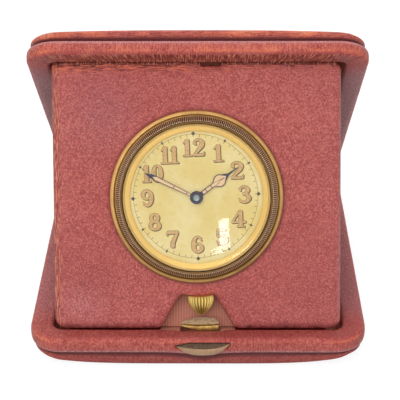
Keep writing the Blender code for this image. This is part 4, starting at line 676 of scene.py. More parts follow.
def pad_piece(name, place, body, finish, top, edge, base, arch, thin, dip, low_shade, rub_and_highlight, seed, node):
    """The padded outside of a cover: a plump edge that rolls to a crowned middle, hollow over the tray.

    top is the seam's height, edge the wall's and base the whole height. arch lifts the middle of each side. thin is
    how far the left and right ends of the front sink, how sharply, and how far back. dip lowers the seam under the
    button. Two shares follow: painted shade low on the wall, and rubbed colour along the wall that also stands as a
    painted highlight there.
    """
    section = [(CAVITY_INSET, -CAVITY_DEPTH), (CAVITY_INSET, -CAVITY_DEPTH + 0.0003), (CAVITY_INSET, -top)]
    section += [(SEAM_INSET + 0.0008, -top), (SEAM_INSET + 0.0003, -top - 0.00008)]
    section += [(SEAM_INSET + 0.00005, -top - 0.0003)]
    bottom = edge - PAD_ROUND
    for share in (0.25, 0.5, 0.75):
        inset = SEAM_INSET - PAD_BULGE * math.sin(math.pi * share / 2)
        section.append((inset, -top - 0.0003 - (bottom - 0.0003) * share))
    for angle in np.radians(np.arange(9) * 11.25):
        inset = SEAM_INSET - PAD_BULGE + PAD_ROUND * (1 - math.cos(angle))
        section.append((inset, -top - bottom - PAD_ROUND * math.sin(angle)))
    rise = base - top - edge
    start = SEAM_INSET - PAD_BULGE + PAD_ROUND
    for i in range(1, CROWN_ROWS + 1):
        share = (i / CROWN_ROWS) ** 1.35
        inset = start + (PAD_FLAT_INSET - start) * share
        section.append((inset, -top - edge - rise * share * (1.5 - 0.5 * share**2), PAD_SINK * share**0.6))
    rings = np.stack([cover_ring(*step) for step in section])
    plan = BASE_RING
    order = np.arange(len(section))
    insets = np.array([step[0] for step in section])
    outside = order >= SEAM_ROWS
    near_edge = held(1 - (insets - SEAM_INSET) / 0.012) * outside
    along = held(np.abs(plan[:, 0]) / (COVER_WIDTH / 2))
    swell = arch * (1 - along**2) - 0.16 * along**4
    rings[:, :, 2] = -top + (rings[:, :, 2] + top) * (1 + near_edge[:, None] * swell[None])
    left_fall, right_fall, power, span = thin
    fall = np.where(rings[:, :, 0] < 0, left_fall, right_fall)
    fall = fall * (np.abs(rings[:, :, 0]) / (COVER_WIDTH / 2)) ** power
    near_front = held(1 - (rings[:, :, 1] + COVER_REACH) / span)
    near_front = near_front**2 * (3 - 2 * near_front) * outside[:, None]
    rings[:, :, 2] = -top + (rings[:, :, 2] + top) * (1 - np.clip(fall, 0, 0.62) * near_front)
    # The crown stays deeper than the hollow, with a soft start where the hollow's round corner begins
    left, right, front, back = BOX
    over_x = np.abs(rings[:, :, 0] - (left + right) / 2) - (right - left) / 2 + CAVITY_INSET + CAVITY_CORNER
    over_y = np.abs(rings[:, :, 1] - (front + back) / 2) - (back - front) / 2 + CAVITY_INSET + CAVITY_CORNER
    round_corner = np.hypot(np.maximum(over_x, 0), np.maximum(over_y, 0))
    past = round_corner + np.minimum(np.maximum(over_x, over_y), 0) - CAVITY_CORNER
    need = CAVITY_DEPTH + 0.0002 - np.maximum(past - 0.0001, 0)
    depths = -rings[:, :, 2]
    covered = np.maximum(depths, need) + np.maximum(0.0006 - np.abs(depths - need), 0) ** 2 / 0.0024
    rings[:, :, 2] = np.where((order >= WALL_ROWS)[:, None], -covered, rings[:, :, 2])
    seam = (np.abs(order - 4.5) < 2.6)[:, None]
    rings[:, :, 2] -= seam * dip * button_dip(plan)[None]
    soft = waves(rings, 0.014, seed) * 0.00012 + waves(rings, 0.004, seed + 5) * 0.00004
    shares = held((insets - 0.0018) / 0.004) * outside
    resting = held(1.0 - (insets - 0.0120) / 0.0110)
    rings[:, :, 2] += np.abs(soft) * (shares * resting)[:, None]
    across = lengths_along(np.array([step[:2] for step in section]))
    mesh = loop_surface(name, rings, (RING_RUN, across, np.zeros((len(across), len(RING_RUN)))))
    far = np.abs(plan[:, 1] + COVER_REACH / 2) - COVER_REACH / 2 + 0.0030
    corner = hill(np.hypot(np.abs(plan[:, 0]) - COVER_WIDTH / 2 + 0.0030, far), 0.0, 0.0110)
    roll = hill(across, across[13], 0.0012)
    patch = 0.55 + 0.8 * waves(rings, 0.008, seed + 2)
    everywhere = np.ones(len(plan))[None]
    wear = roll[:, None] * (0.30 + 0.45 * corner)[None] * patch
    # Rubbed colour along the wall, which also stands as a painted highlight there
    wear = wear + rub_and_highlight * hill(across, across[9], 0.0018)[:, None] * patch
    low = held((-rings[:, :, 2] - top - edge * 0.25) / (edge * 0.5))
    # Painted shade along the seam, and more of it lower down the wall
    grime = hill(across, across[5], 0.0010)[:, None] * everywhere + low_shade * (0.35 + 0.65 * low)
    # A little painted sheen over the crown
    dusk = held((insets - 0.010) / 0.010)[:, None] * everywhere * 0.15
    pleat = held(roll + hill(across, across[8], 0.0016))[:, None] * everywhere * 0.08
    fray = hill(across, across[9], 0.0010)[:, None] * everywhere * rub_and_highlight
    weigh(mesh, wear=held(wear), pleat=pleat, dusk=dusk, grime=held(grime), fray=fray)
    made = piece(name, mesh, finish, body, place)
    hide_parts(node)


lower_leather = leather("lower_rim_leather", pleat_size=0.00040)
upper_leather = leather("upper_rim_leather", pleat_size=0.00032)
pad_leather = leather("pad_leather", pleat_size=0.00042)
lower_rim = rim_piece(
    "lower_rim_leather",
    LOWER_PLACE,
    "lower_cover",
    lower_leather,
    height=0.00445,
    front_extra=0.00065,
    pleats=(0.20, 0.10, 0.26),
    rubs=(0.34, 0.26, 0.0, 0.38),
    dip=1.0,
    seed=1.3,
    nodes=("lower_rim",),
)
rim_piece(
    "upper_rim_leather",
    UPPER_PLACE,
    "upper_cover",
    upper_leather,
    height=0.0038,
    front_extra=0.0019,
    pleats=(0.24, 1.0, 0.14),
    rubs=(0.08, 0.10, 0.27, 1.0),
    dip=0.0,
    seed=4.1,
    nodes=("upper_rim", "board_hinge_strip"),
)
pad_piece(
    "lower_pad_leather",
    LOWER_PLACE,
    "lower_cover",
    pad_leather,
    top=0.00475,
    edge=0.0040,
    base=0.0093866,
    arch=0.0,
    thin=(0.72, 1.05, 5.0, 0.020),
    dip=1.0,
    low_shade=0.55,
    rub_and_highlight=0.06,
    seed=2.2,
    node="lower_pad",
)
pad_piece(
    "upper_pad_leather",
    UPPER_PLACE,
    "upper_cover",
    pad_leather,
    top=0.0041,
    edge=0.0028,
    base=0.0130,
    arch=0.10,
    thin=(0.14, 0.08, 3.0, 0.075),
    dip=0.0,
    low_shade=0.0,
    rub_and_highlight=0.60,
    seed=6.7,
    node="upper_pad",
)


def button_top(share):
    """How high the button's deck stands: it falls a little to its left point."""
    return BUTTON_TOP - 0.0007 * max(0.0, (-share - 0.45) / 0.55) ** 1.5


def button_foot(share):
    """How low the button's front reaches, from its left end at -1 to its right end at 1."""
    return button_top(share) - 0.0003 - 0.0020 * (1 - abs(share) ** 3.4)


def button_pocket(room):
    """The opening in the rim that the button moves in, as a prism through the wall."""
    shares = np.linspace(-1, 1, 25)
    half = BUTTON_HALF + room
    outline = [(BUTTON_MIDDLE + share * half, button_top(share) + room) for share in shares]
    outline += [(BUTTON_MIDDLE + share * half, button_foot(share) - room) for share in shares[::-1]]
    count = len(outline)
    verts = [(x, y, z) for y in (-0.0940, -0.0891) for x, z in outline]
    faces = [tuple(range(count)), tuple(range(2 * count - 1, count - 1, -1))]
    faces += [(i, count + i, count + (i + 1) % count, (i + 1) % count) for i in range(count)]
    mesh = solid_mesh("pocket", verts, faces)
    mesh.transform(LOWER_PLACE)
    return mesh


hook_slot = box_mesh((-0.0011, -0.0920, -0.0033), (0.0058, -0.0856, -0.0016), LOWER_PLACE)
cut(lower_rim, [button_pocket(0.00022), hook_slot])


# ---------------------------------------------------------------- board in leather

FOLD_TOP = 0.00092
SLOT_X = 0.0035
SLOT_HALF = 0.0027
SLOT_FOOT = -0.0001
FIELD_STEP = 0.00072
HOLE_STEPS = 210
# How far the leather falls at the board's edge: how far in, in metres, and the fall in millimetres
ROLL_IN = (0, 0.0001, 0.00027, 0.0006, 0.00112, 0.0020, 0.0034)
ROLL_FALL = (1.5, 1.15, 0.82, 0.52, 0.26, 0.08, 0)
# Spots of painted sheen on the board: x and y on it, how wide, and how strong
PAINTED_SHEEN_SPOTS = ((-0.024, -0.0130, 0.0080, 0.20), (-0.030, -0.0620, 0.0050, 0.20), (0.0, -0.0180, 0.0060, 0.10))


def bend(x, y, radius, start, end, steps=8):
    """Points on an arc, angles in degrees."""
    angles = np.radians(np.linspace(start, end, steps + 1))
    return [(x + radius * math.cos(a), y + radius * math.sin(a)) for a in angles]


def board_outline():
    """The board's edge, to the left all the way round, with the notch and the catch's slot."""
    half, foot, top = BOARD_WIDTH / 2, -BOARD_LENGTH, FOLD_TOP
    corner, small, sharp = BOARD_CORNER, 0.0022, 0.0010
    edge = bend(half - corner, foot + corner, corner, -90, 0)
    edge += bend(half - 0.0004 - small, top - small, small, 0, 90)
    foot_half = SLOT_HALF - 0.0001
    slot = [(SLOT_HALF, top), (foot_half, SLOT_FOOT), (-foot_half, SLOT_FOOT), (-SLOT_HALF, top)]
    edge += [(SLOT_X + x, y) for x, y in slot]
    edge += bend(-half - 0.0003 + sharp, top - sharp, sharp, 90, 180)
    edge += [(-half - 0.0002, -0.0200)]
    edge += bend(-half + corner, foot + corner, corner, 180, 270)
    half_top, half_foot = NOTCH_TOP_WIDTH / 2, NOTCH_FOOT_WIDTH / 2
    side = math.degrees(math.atan2(NOTCH_HEIGHT, half_foot - half_top))
    flare = NOTCH_FOOT_ROUND * math.tan(math.radians(side / 2))
    inset = NOTCH_TOP_ROUND * math.tan(math.radians(side / 2))
    right = bend(half_foot + flare, foot + NOTCH_FOOT_ROUND, NOTCH_FOOT_ROUND, -90, -90 - side)
    right += bend(half_top - inset, foot + NOTCH_HEIGHT - NOTCH_TOP_ROUND, NOTCH_TOP_ROUND, 90 - side, 90)
    return np.array(edge + [(-x, y) for x, y in right] + right[::-1])


def resample(points, step):
    """Even steps round a closed line, each straight part kept on its ends."""
    made = []
    for a, b in zip(points, np.roll(points, -1, axis=0)):
        count = max(1, round(float(np.linalg.norm(b - a)) / step))
        made += [a + (b - a) * i / count for i in range(count)]
    return np.array(made)


def edge_distance(points, line):
    """How far each point is from a closed line."""
    nearest = np.full(len(points), 1.0)
    for a, b in zip(line, np.roll(line, -1, axis=0)):
        side = b - a
        share = held((points - a) @ side / float(np.linalg.norm(side)) ** 2)
        nearest = np.minimum(nearest, np.linalg.norm(points - a - share[:, None] * side, axis=1))
    return nearest


def inside(points, line):
    """Which points lie inside a closed line."""
    within = np.zeros(len(points), dtype=bool)
    for (ax, ay), (bx, by) in zip(line, np.roll(line, -1, axis=0)):
        if ay == by:
            continue
        crosses = (points[:, 1] < ay) != (points[:, 1] < by)
        within ^= crosses & (points[:, 0] < ax + (points[:, 1] - ay) * (bx - ax) / (by - ay))
    return within


def sheet_faces(points, loops):
    """Triangles over flat points between the first loop, outside, and the others, which are holes."""
    edges = [(loop[i - 1], loop[i]) for loop in loops for i in (*range(1, len(loop)), 0)]
    made, _, faces, origin, _, _ = delaunay_2d_cdt([Vector(p) for p in points], edges, [], 0, 1e-9)
    verts = np.array([tuple(v) for v in made])
    middles = np.array([verts[list(face)].mean(axis=0) for face in faces])
    keep = inside(middles, points[loops[0]])
    for hole in loops[1:]:
        keep &= ~inside(middles, points[hole])
    source = [ids[0] for ids in origin]
    return [tuple(source[i] for i in face) for face, wanted in zip(faces, keep) if wanted]


def field_waves(points, size, seed):
    """Smooth noise from -1 to 1 over flat points."""
    return np.array([noise.noise(Vector((x / size, y / size, seed))) for x, y in points])


def board_height(points, outer):
    """How high the board's leather stands: rolled edges, a flat field that swells a little, a round fold."""
    away = edge_distance(points, outer)
    drop = np.interp(away, ROLL_IN, np.array(ROLL_FALL) * MM)
    x, y = points[:, 0], points[:, 1]
    over_stem = hill(x, CLOCK_SHIFT, 0.0026) * hill(y, -BOARD_LENGTH + NOTCH_HEIGHT, 0.0022)
    drop = drop * (1 - np.clip(1.6 * over_stem, 0, 0.85))
    swell = field_waves(points, 0.011, 2.7) * 0.00013
    fine = field_waves(points, 0.0031, 7.1) * 0.00004
    calm = held((away - 0.0006) / 0.0020) * held((-y - 0.0012) / 0.0020)
    height = BOARD_BEAD - drop + (swell + fine) * calm
    fold = np.sqrt(np.clip(BOARD_BEAD**2 - np.clip(y, 0, FOLD_TOP) ** 2, 0, None))
    near_top = held((y + 0.0024) / 0.0008)
    near_top = near_top * held((BOARD_WIDTH / 2 - 0.0014 - np.abs(x)) / 0.0010)
    slot = held((np.abs(x - SLOT_X) - SLOT_HALF) / 0.0006)
    near_top = near_top * (0.4 + 0.6 * slot)
    return height * (1 - near_top) + fold * near_top


def board_leather():
    """The board's leather, drawn over its edges, with the clock's hole and the notch."""
    outer = resample(board_outline(), 0.00045)
    angles = np.arange(HOLE_STEPS) * math.tau / HOLE_STEPS
    middle = np.array([CLOCK_SHIFT, -CLOCK_DROP])
    hole = middle + HOLE_RADIUS * np.stack([np.cos(angles), np.sin(angles)], axis=1)
    tangent = np.roll(outer, -1, axis=0) - np.roll(outer, 1, axis=0)
    tangent /= np.linalg.norm(tangent, axis=1)[:, None]
    inward = np.stack([-tangent[:, 1], tangent[:, 0]], axis=1)
    sets = [outer, hole]
    for gap in (0.00010, 0.00027, 0.00060, 0.00112, 0.00180):
        ring = outer + inward * gap
        sets.append(ring[(edge_distance(ring, outer) > gap * 0.93) & inside(ring, outer)])
    for gap in (0.0003, 0.0008):
        sets.append(middle + (hole - middle) * (1 + gap / HOLE_RADIUS))
    rows = []
    for row, y in enumerate(np.arange(-BOARD_LENGTH + FIELD_STEP, FOLD_TOP, FIELD_STEP * 0.866)):
        x = np.arange(-BOARD_WIDTH / 2, BOARD_WIDTH / 2, FIELD_STEP) + (row % 2) * FIELD_STEP / 2
        rows.append(np.stack([x, np.full(len(x), y)], axis=1))
    grid = np.concatenate(rows)
    clear = np.linalg.norm(grid - middle, axis=1) > HOLE_RADIUS + 0.0012
    grid = grid[inside(grid, outer) & (edge_distance(grid, outer) > 0.0023) & clear]
    points = np.concatenate(sets + [grid])
    rim = list(range(len(outer)))
    bore = list(range(len(outer), len(outer) + HOLE_STEPS))
    faces = sheet_faces(points, [rim, bore])
    height = board_height(points, outer)
    verts = np.concatenate([points, height[:, None]], axis=1)
    levels = (-0.0012, -0.0021, -0.0031, BOARD_BACK)
    insets = (-0.00003, 0.0, 0.00003, 0.00022)
    count, base = len(outer), len(verts)
    wall = []
    before = rim
    for k, (inset, level) in enumerate(zip(insets, levels)):
        wall.append(np.concatenate([outer + inward * inset, np.full((count, 1), level)], axis=1))
        row = [base + k * count + i for i in range(count)]
        for i in range(count):
            j = (i + 1) % count
            faces.append((before[j], before[i], row[i], row[j]))
        before = row
    back_hole = np.concatenate([hole, np.full((HOLE_STEPS, 1), BOARD_BACK)], axis=1)
    first = base + len(levels) * count
    for i in range(HOLE_STEPS):
        j = (i + 1) % HOLE_STEPS
        faces.append((bore[i], bore[j], first + j, first + i))
    under = np.concatenate([outer + inward * insets[-1], hole])
    back = sheet_faces(under, [list(range(count)), list(range(count, count + HOLE_STEPS))])
    ids = before + [first + i for i in range(HOLE_STEPS)]
    faces += [tuple(ids[i] for i in reversed(face)) for face in back]
    verts = np.concatenate([verts, *wall, back_hole])
    mesh = solid_mesh("board_leather", verts.tolist(), faces)
    layer = mesh.uv_layers.new(name="run")
    spots = np.array([verts[loop.vertex_index][:2] for loop in mesh.loops], dtype=np.float32)
    layer.data.foreach_set("uv", spots.ravel())
    flat = verts[:, :2]
    x, y = flat[:, 0], flat[:, 1]
    patch = 0.65 + 0.7 * waves(verts, 0.008, 3.3)
    ragged = y + 0.0003 * waves(verts, 0.0022, 5.1) + 0.0003 * waves(verts, 0.0008, 8.3)
    over = held((ragged - 0.0002) / 0.0003)
    crease = hill(ragged, 0.0001, 0.00022)
    frayed = held((ragged + 0.0019) / 0.0006) * (1 - over) * np.clip(0.75 - x / 0.050, 0.3, 1)
    foot = held((-ragged - BOARD_LENGTH + 0.0022) / 0.0016) * (np.abs(x) > 0.0100)
    rim_rub = hill(edge_distance(flat, outer), 0.0006, 0.0007)
    left = hill(x, -BOARD_WIDTH / 2 + 0.0006, 0.0013)
    right = hill(x, BOARD_WIDTH / 2 - 0.0003, 0.0004)
    above_notch = hill(x, 0.0, 0.0062) * hill(y, -BOARD_LENGTH + NOTCH_HEIGHT + 0.0011, 0.0011)
    wear = left * 0.42 + right * 0.30 + above_notch * 0.62 + rim_rub * 0.10
    wear = held(wear) * patch * (1 - foot)
    spread = np.linalg.norm(flat - middle, axis=1)
    # Painted sheen: a little all over, more away from the bezel, a pale line at the right edge, and spots of it
    dusk = 0.10 + held((spread - 0.0240) / 0.0180) * 0.04 + right * 0.4
    for sheen_x, sheen_y, size, share in PAINTED_SHEEN_SPOTS:
        dusk = dusk + share * hill(np.hypot(x - sheen_x, y - sheen_y), 0.0, size)
    # Painted shade: on the board's foot and its rolled-down edges, in the fold's crease and over the fold, in the fray
    # and in a ring round the bezel
    low = held(-verts[:, 2] / 0.0015)
    grime = foot * (0.6 + 0.5 * waves(verts, 0.0012, 1.7)) + low * 0.75
    grime += crease * 1.1 + over * 0.40 + frayed * 0.12 + hill(spread, 0.0222, 0.0006) * 0.7
    pleat = left * 0.8 + right * 0.3 + over * 0.9
    weigh(
        mesh,
        wear=wear,
        pleat=held(pleat),
        dusk=held(dusk),
        grime=held(grime),
        fray=held(frayed + left * 0.15),
    )
    made = piece("board_leather", mesh, leather("board_leather"), "clock_board", BOARD_PLACE, sharp=62)
    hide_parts("clock_board")


board_leather()


# ---------------------------------------------------------------- silk linings

silk = ribbed_silk("ribbed_silk")
for node, body, round_edge in (
    ("lower_lining", "lower_cover", 0.00010),
    ("upper_lining", "upper_cover", 0.00010),
    ("board_backing", "clock_board", 0.000075),
    ("foot_rest_left", "lower_cover", 0.000125),
    ("foot_rest_right", "lower_cover", 0.000125),
):
    shape = bmesh.new()
    shape.from_mesh(bpy.data.objects[node].data)
    if node == "board_backing":
        # Its foot reaches a little further down, as the photo shows it in the notch
        down_board = BOARD_PLACE.to_3x3() @ Vector((0, -0.00055, 0))
        low = [vert for vert in shape.verts if (BOARD_PLACE.inverted() @ vert.co).y < 0.0010 - BOARD_LENGTH]
        bmesh.ops.translate(shape, verts=low, vec=down_board)
    bmesh.ops.bevel(shape, geom=list(shape.edges), offset=round_edge, segments=2, affect="EDGES", clamp_overlap=True)
    bmesh.ops.triangulate(shape, faces=[face for face in shape.faces if len(face.verts) > 4])
    lining = bpy.data.meshes.new(f"{node}_silk")
    shape.to_mesh(lining)
    shape.free()
    spots = np.array([v.co for v in lining.vertices]) - np.array(HINGE)
    # The lower lining's front and the foot rests take the silk's painted light and painted shade
    low_front = (spots[:, 1] < -0.0858) & (body == "lower_cover")
    weigh(lining, shaded=(low_front | node.startswith("foot_rest")).astype(float))
    made = piece(f"{node}_silk", lining, silk, body, sharp=40)
    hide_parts(node)


# ---------------------------------------------------------------- metalwork


def lathe(profile, steps=0, tooth=0.0, teeth=0, round_tooth=False):
    """A closed profile turned round the local z axis, with teeth cut where a row of it has their share."""
    per = 8 if round_tooth else 4
    count = teeth * per if teeth else steps
    turn = np.arange(count) * math.tau / count
    if round_tooth:
        cut_share = 1 - np.abs(np.sin(turn * teeth / 2)) ** 0.8
    else:
        cut_share = np.tile([0.0, 0.0, 1.0, 1.0], teeth) if teeth else np.zeros(count)
    rings = []
    for radius, height, *toothed in profile:
        around = radius - tooth * sum(toothed) * cut_share
        rings.append(np.stack([around * np.cos(turn), around * np.sin(turn), np.full(count, height)], axis=1))
    return np.stack(rings)


def milled_metal(name, colour, dark, groove_colour):
    """Metal darkened where the mesh's weight says so: soiling at the foot of its teeth, and painted shade."""
    plate = metal(name, colour, dark, rough=0.36, tarnish=0.4, size=0.005, scratch=0.0003)
    under = plate.shader.inputs["Base Color"].links[0].from_socket
    return plate.set(Base_Color=plate.mix(plate.spread("groove"), under, groove_colour))


milled = milled_metal("milled_brass", tone(250, 228, 192), tone(204, 172, 136), tone(66, 46, 36))
milled.set(Metallic=0.55)
ring_profile = [
    (0.01965, 0.00200, 0),
    (0.02104, 0.00200, 1),
    (0.02104, 0.00246, 1),
    (0.02078, 0.00292, 1),
    (0.02036, 0.00346, 1),
    (0.02000, 0.00396, 1),
    (0.01982, 0.00418, 0.6),
    (0.01965, 0.00414, 0),
]
TEETH = 260
ring = loop_surface("milled_ring_fine", lathe(ring_profile, tooth=0.00030, teeth=TEETH), closed=True)
# Soiling and painted shade at the foot of the teeth
weigh(ring, groove=np.outer([0, 0.4, 1, 1, 1, 1, 0.4, 0], np.tile([0.0, 0.1, 1.0, 0.9], TEETH)))
ring_piece = piece("milled_ring_fine", ring, milled, "clock_board", CLOCK_PLACE, smooth=False)
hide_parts("milled_ring")

bezel_brass = milled_metal("bezel_brass", tone(218, 172, 108), tone(146, 100, 58), tone(88, 58, 32))
bezel_profile = [(0.01915, 0.0044), (0.01923, 0.0045), (0.01947, 0.0045), (0.01955, 0.0044), (0.01955, 0.00185)]
bezel_profile += [(0.02108, 0.00185)]
for angle in np.radians(np.arange(15, 180, 15)):
    bezel_profile.append((0.02175 - 0.00065 * math.cos(angle), 0.00185 + 0.00062 * math.sin(angle)))
bezel_profile += [(0.0224, 0.0017), (0.0224, 0.0013), (0.01915, 0.0013)]
bezel_mesh = loop_surface("bezel_turned", lathe(bezel_profile, 180), closed=True)
bezel_spots = np.array([v.co for v in bezel_mesh.vertices])
# Painted shade on the bezel's right and lower side, and on its neck
shadow_side = np.clip(0.02 - bezel_spots[:, 1] / 0.026, 0, 0.75) + np.clip(bezel_spots[:, 0] / 0.060, 0, 0.3)
neck = np.linalg.norm(bezel_spots[:, :2], axis=1) < 0.0200
weigh(bezel_mesh, groove=np.where(neck, 0.75, shadow_side * 0.7))
bezel_piece = piece("bezel_turned", bezel_mesh, bezel_brass, "clock_board", CLOCK_PLACE, sharp=32)
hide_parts("bezel")

STEM = Vector(JOINTS["winding_turn"]["pos_m"])
STEM_PLACE = axes(FACING.cross(DOWN_DIAL), FACING, DOWN_DIAL, STEM)
crown_brass = milled_metal("crown_brass", tone(236, 208, 124), tone(160, 122, 58), tone(84, 58, 24))
CROWN_RADIUS = 0.00345
CROWN_START = 0.02578
CROWN_LENGTH = 0.00522
FLUTE = 0.00042
# Shares of the crown's radius, of its length and of its flutes' depth
crown_shares = [(0.30, 0.0, 0), (0.84, 0.0, 0.2), (0.93, 0.018, 0.6), (0.98, 0.05, 1), (1.0, 0.09, 1), (1.0, 0.18, 1)]
crown_shares += [(0.985, 0.28, 1), (0.94, 0.40, 1), (0.87, 0.52, 1), (0.77, 0.63, 1), (0.65, 0.74, 1)]
crown_shares += [(0.52, 0.83, 1), (0.41, 0.90, 0.7), (0.32, 0.95, 0.4), (0.22, 0.985, 0), (0.10, 1.0, 0)]
crown_profile = [(CROWN_RADIUS * r, CROWN_START + CROWN_LENGTH * along, deep) for r, along, deep in crown_shares]
crown_rings = lathe(crown_profile, tooth=FLUTE, teeth=24, round_tooth=True)
crown = loop_surface("crown_fluted", crown_rings)
crown_radii = np.array([row[0] for row in crown_profile])[:, None]
valley = (crown_radii - np.linalg.norm(crown_rings[:, :, :2], axis=2)) / FLUTE
toward_tip = np.array([held((along - 0.30) / 0.5) for _, along, _ in crown_shares])[:, None]
# Painted shade in the flutes and over the crown's lower half
weigh(crown, groove=held(valley * 0.42 + toward_tip * 0.42))
crown_piece = piece("crown_fluted", crown, crown_brass, "crown", STEM_PLACE, sharp=50)
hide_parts("crown")

ring_gold = milled_metal("dial_ring_gold", tone(255, 222, 134), tone(255, 206, 112), tone(168, 124, 64))
ring_gold.set(Roughness=0.20)
dial_ring_profile = [(0.01885, 0.00395), (0.01885, 0.0028), (0.0171, 0.0028), (0.0171, 0.00291)]
dial_ring_profile += [(0.01718, 0.003), (0.018, 0.00359), (0.01832, 0.00382), (0.01838, 0.00386)]
dial_ring_profile += [(0.01844, 0.0039), (0.0185, 0.00395)]
dial_ring = loop_surface("dial_ring_turned", lathe(dial_ring_profile, 144), closed=True)
# Painted shade along the ring's edges
weigh(dial_ring, groove=np.outer([0.75, 0, 0, 0.3, 0, 0, 0, 1, 0.1, 0.75], np.ones(144)))
dial_ring_piece = piece("dial_ring_turned", dial_ring, ring_gold, "clock_board", CLOCK_PLACE, sharp=28)
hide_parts("dial_ring")
hinge_brass = metal("hinge_brass", tone(176, 132, 66), tone(92, 64, 36), 0.32, 0.6, 0.002, 0.0002)
movement_brass = metal("movement_brass", tone(200, 164, 92), tone(140, 104, 54), 0.3, 0.35, 0.003, 0.0002)
plain_steel = metal("plain_steel", tone(176, 176, 174), tone(110, 110, 112), 0.28, 0.3, 0.003, 0.0002)


def topped(name, colour, dark, top_colour, top_dark):
    """Worn metal with another shade on its flat top, which the mesh marks."""
    plate = metal(name, colour, dark, rough=0.36, tarnish=0.5, size=0.0022, scratch=0.0002)
    top = plate.spread("deck").between(0.3, 0.7)
    stain = plate.noise(plate.place(), 0.0009, 3.0)
    under = plate.shader.inputs["Base Color"].links[0].from_socket
    plate.set(Base_Color=plate.mix(top, under, plate.mix(stain.between(0.4, 0.7), top_colour, top_dark)))
    return plate.set(Metallic=0.9 - top * 0.75)


def drawn_piece(name, sections, deck, finish, body, node):
    """A piece drawn along x through cross sections in the lower cover's frame. deck marks its top."""
    mesh = loop_surface(name, np.array(sections))
    weigh(mesh, deck=np.tile(deck, len(sections)))
    made = piece(name, mesh, finish, body, LOWER_PLACE, sharp=38)
    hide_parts(node)


def button_sections():
    """The button: a flat deck bowed out in front, and a front that thins to both points."""
    rows = []
    for share in np.linspace(-1, 1, 41):
        x = BUTTON_MIDDLE + share * BUTTON_HALF
        front = -0.0922 - 0.0023 * (1 - abs(share) ** 2.6)
        foot = button_foot(share)
        top = button_top(share)
        tall = top - foot
        spots = [(-0.0910, top - 0.00005), (front + 0.0005, top), (front + 0.00022, top)]
        spots += [(front + 0.00010, top - 0.00003), (front, top - 0.10 * tall)]
        spots += [(front - 0.00004, top - 0.35 * tall), (front + 0.00006, top - 0.65 * tall)]
        spots += [(front + 0.00030, top - 0.9 * tall), (front + 0.00070, foot), (-0.0910, foot)]
        rows.append([(x, y, z) for y, z in spots])
    return rows


def hook_sections():
    """The hook: a pointed blade on top, a groove under it and a gold front that runs down behind the lip."""
    rows = []
    front = -0.0869
    for share in np.linspace(0, 1, 41):
        x = -0.0043 + 0.0098 * share
        back = front + 0.0003 + 0.0027 * min(1.0, math.sin(math.pi * min(share * 0.78 + 0.02, 1.0)) ** 0.62)
        back -= 0.0016 * max(0.0, (share - 0.84) / 0.16) ** 2.2
        tip = min(1.0, 0.22 + share / 0.22)
        level = 0.00112
        blade = share <= 0.42
        foot = level - 0.00025 - 0.0013 * math.sin(math.pi / 2 * min(1.0, share / 0.42)) ** 0.8 if blade else HOOK_FOOT
        bow = 0.00045 * (1 - (2 * share - 1) ** 2)
        spots = [(back, level + 0.00026 * tip), ((front + back) / 2, level + 0.00038 * tip)]
        spots += [(front + 0.00030 - bow, level + 0.00038 * tip), (front - bow, level + 0.00030 * tip)]
        spots += [(front + 0.00005 - bow, level + 0.00016 * tip), (front + 0.00045 - bow, level + 0.00010 * tip)]
        spots += [(front + 0.00045 - bow, level - 0.00008 * tip), (front - bow, level - 0.00018 * tip)]
        spots += [(front - 0.00022 - bow, level * 0.5 + foot * 0.5 if blade else 0.0004)]
        spots += [(front - 0.00012 - bow, foot + 0.0002 if blade else -0.0006)]
        spots += [(front + 0.0001 - bow * blade, foot), (back - 0.0001, foot)]
        rows.append([(x, y, z) for y, z in spots])
    return rows


def blued(name):
    """Blued steel, near black, that shows violet and blue where it thins."""
    plate = Finish(name, Metallic=0.75)
    cloud = plate.noise(plate.place(), 0.0016, 3.0)
    marks = plate.noise(plate.place(), 0.0003, 2.0)
    shade = plate.mix(cloud.between(0.4, 0.65), tone(44, 52, 92), tone(66, 44, 50))
    return plate.set(Base_Color=shade, Roughness=0.28 + marks * 0.14, Normal=plate.bump(marks, 0.000006))


blue_steel = blued("blued_steel")
glass = clear_glass("crystal_clear")

CRYSTAL_EDGE = 0.01885
CRYSTAL_FOOT = 0.00425
CRYSTAL_WALL = 0.0007
CRYSTAL_RISE = 0.0024
CRYSTAL_POWER = 2.6


def crystal_level(radius):
    """How high the crystal's outer face stands over the board at a radius."""
    return CRYSTAL_FOOT + 0.0006 + CRYSTAL_RISE * (1 - (radius / CRYSTAL_EDGE) ** CRYSTAL_POWER)


crystal_radii = np.concatenate([[0.00005], np.linspace(0.0006, CRYSTAL_EDGE, 34)])
narrowed = 1 - CRYSTAL_WALL / CRYSTAL_EDGE
crystal_profile = [(r, crystal_level(r)) for r in crystal_radii] + [(CRYSTAL_EDGE, CRYSTAL_FOOT)]
for r in crystal_radii[::-1]:
    crystal_profile.append((r * narrowed, max(crystal_level(r) - CRYSTAL_WALL, CRYSTAL_FOOT)))
dome = loop_surface("crystal_dome", lathe(crystal_profile, 144))
dome_piece = piece("crystal_dome", dome, glass, "clock_board", CLOCK_PLACE, sharp=40)
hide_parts("crystal")

by_slot = {
    "red_leather": lower_leather,
    "red_lining": silk,
    "brass": movement_brass,
    "gilt_brass": ring_gold,
    "dark_brass": hinge_brass,
    "steel": plain_steel,
    "blue_steel": blue_steel,
    "dial_gilt": gilt_dial("dial_gilt"),
    "crystal_glass": glass,
}
by_node = {
    "dial_ring": ring_gold,
    "catch_keeper": hinge_brass,
    "lower_hinge_leaf": hinge_brass,
    "upper_hinge_leaf": hinge_brass,
    "hinge_pin": plain_steel,
    "movement_case": bezel_brass,
    "case_back": bezel_brass,
}
button_bronze = topped(
    "button_bronze", tone(170, 138, 108), tone(112, 86, 64), tone(112, 94, 76), tone(74, 62, 50)
)
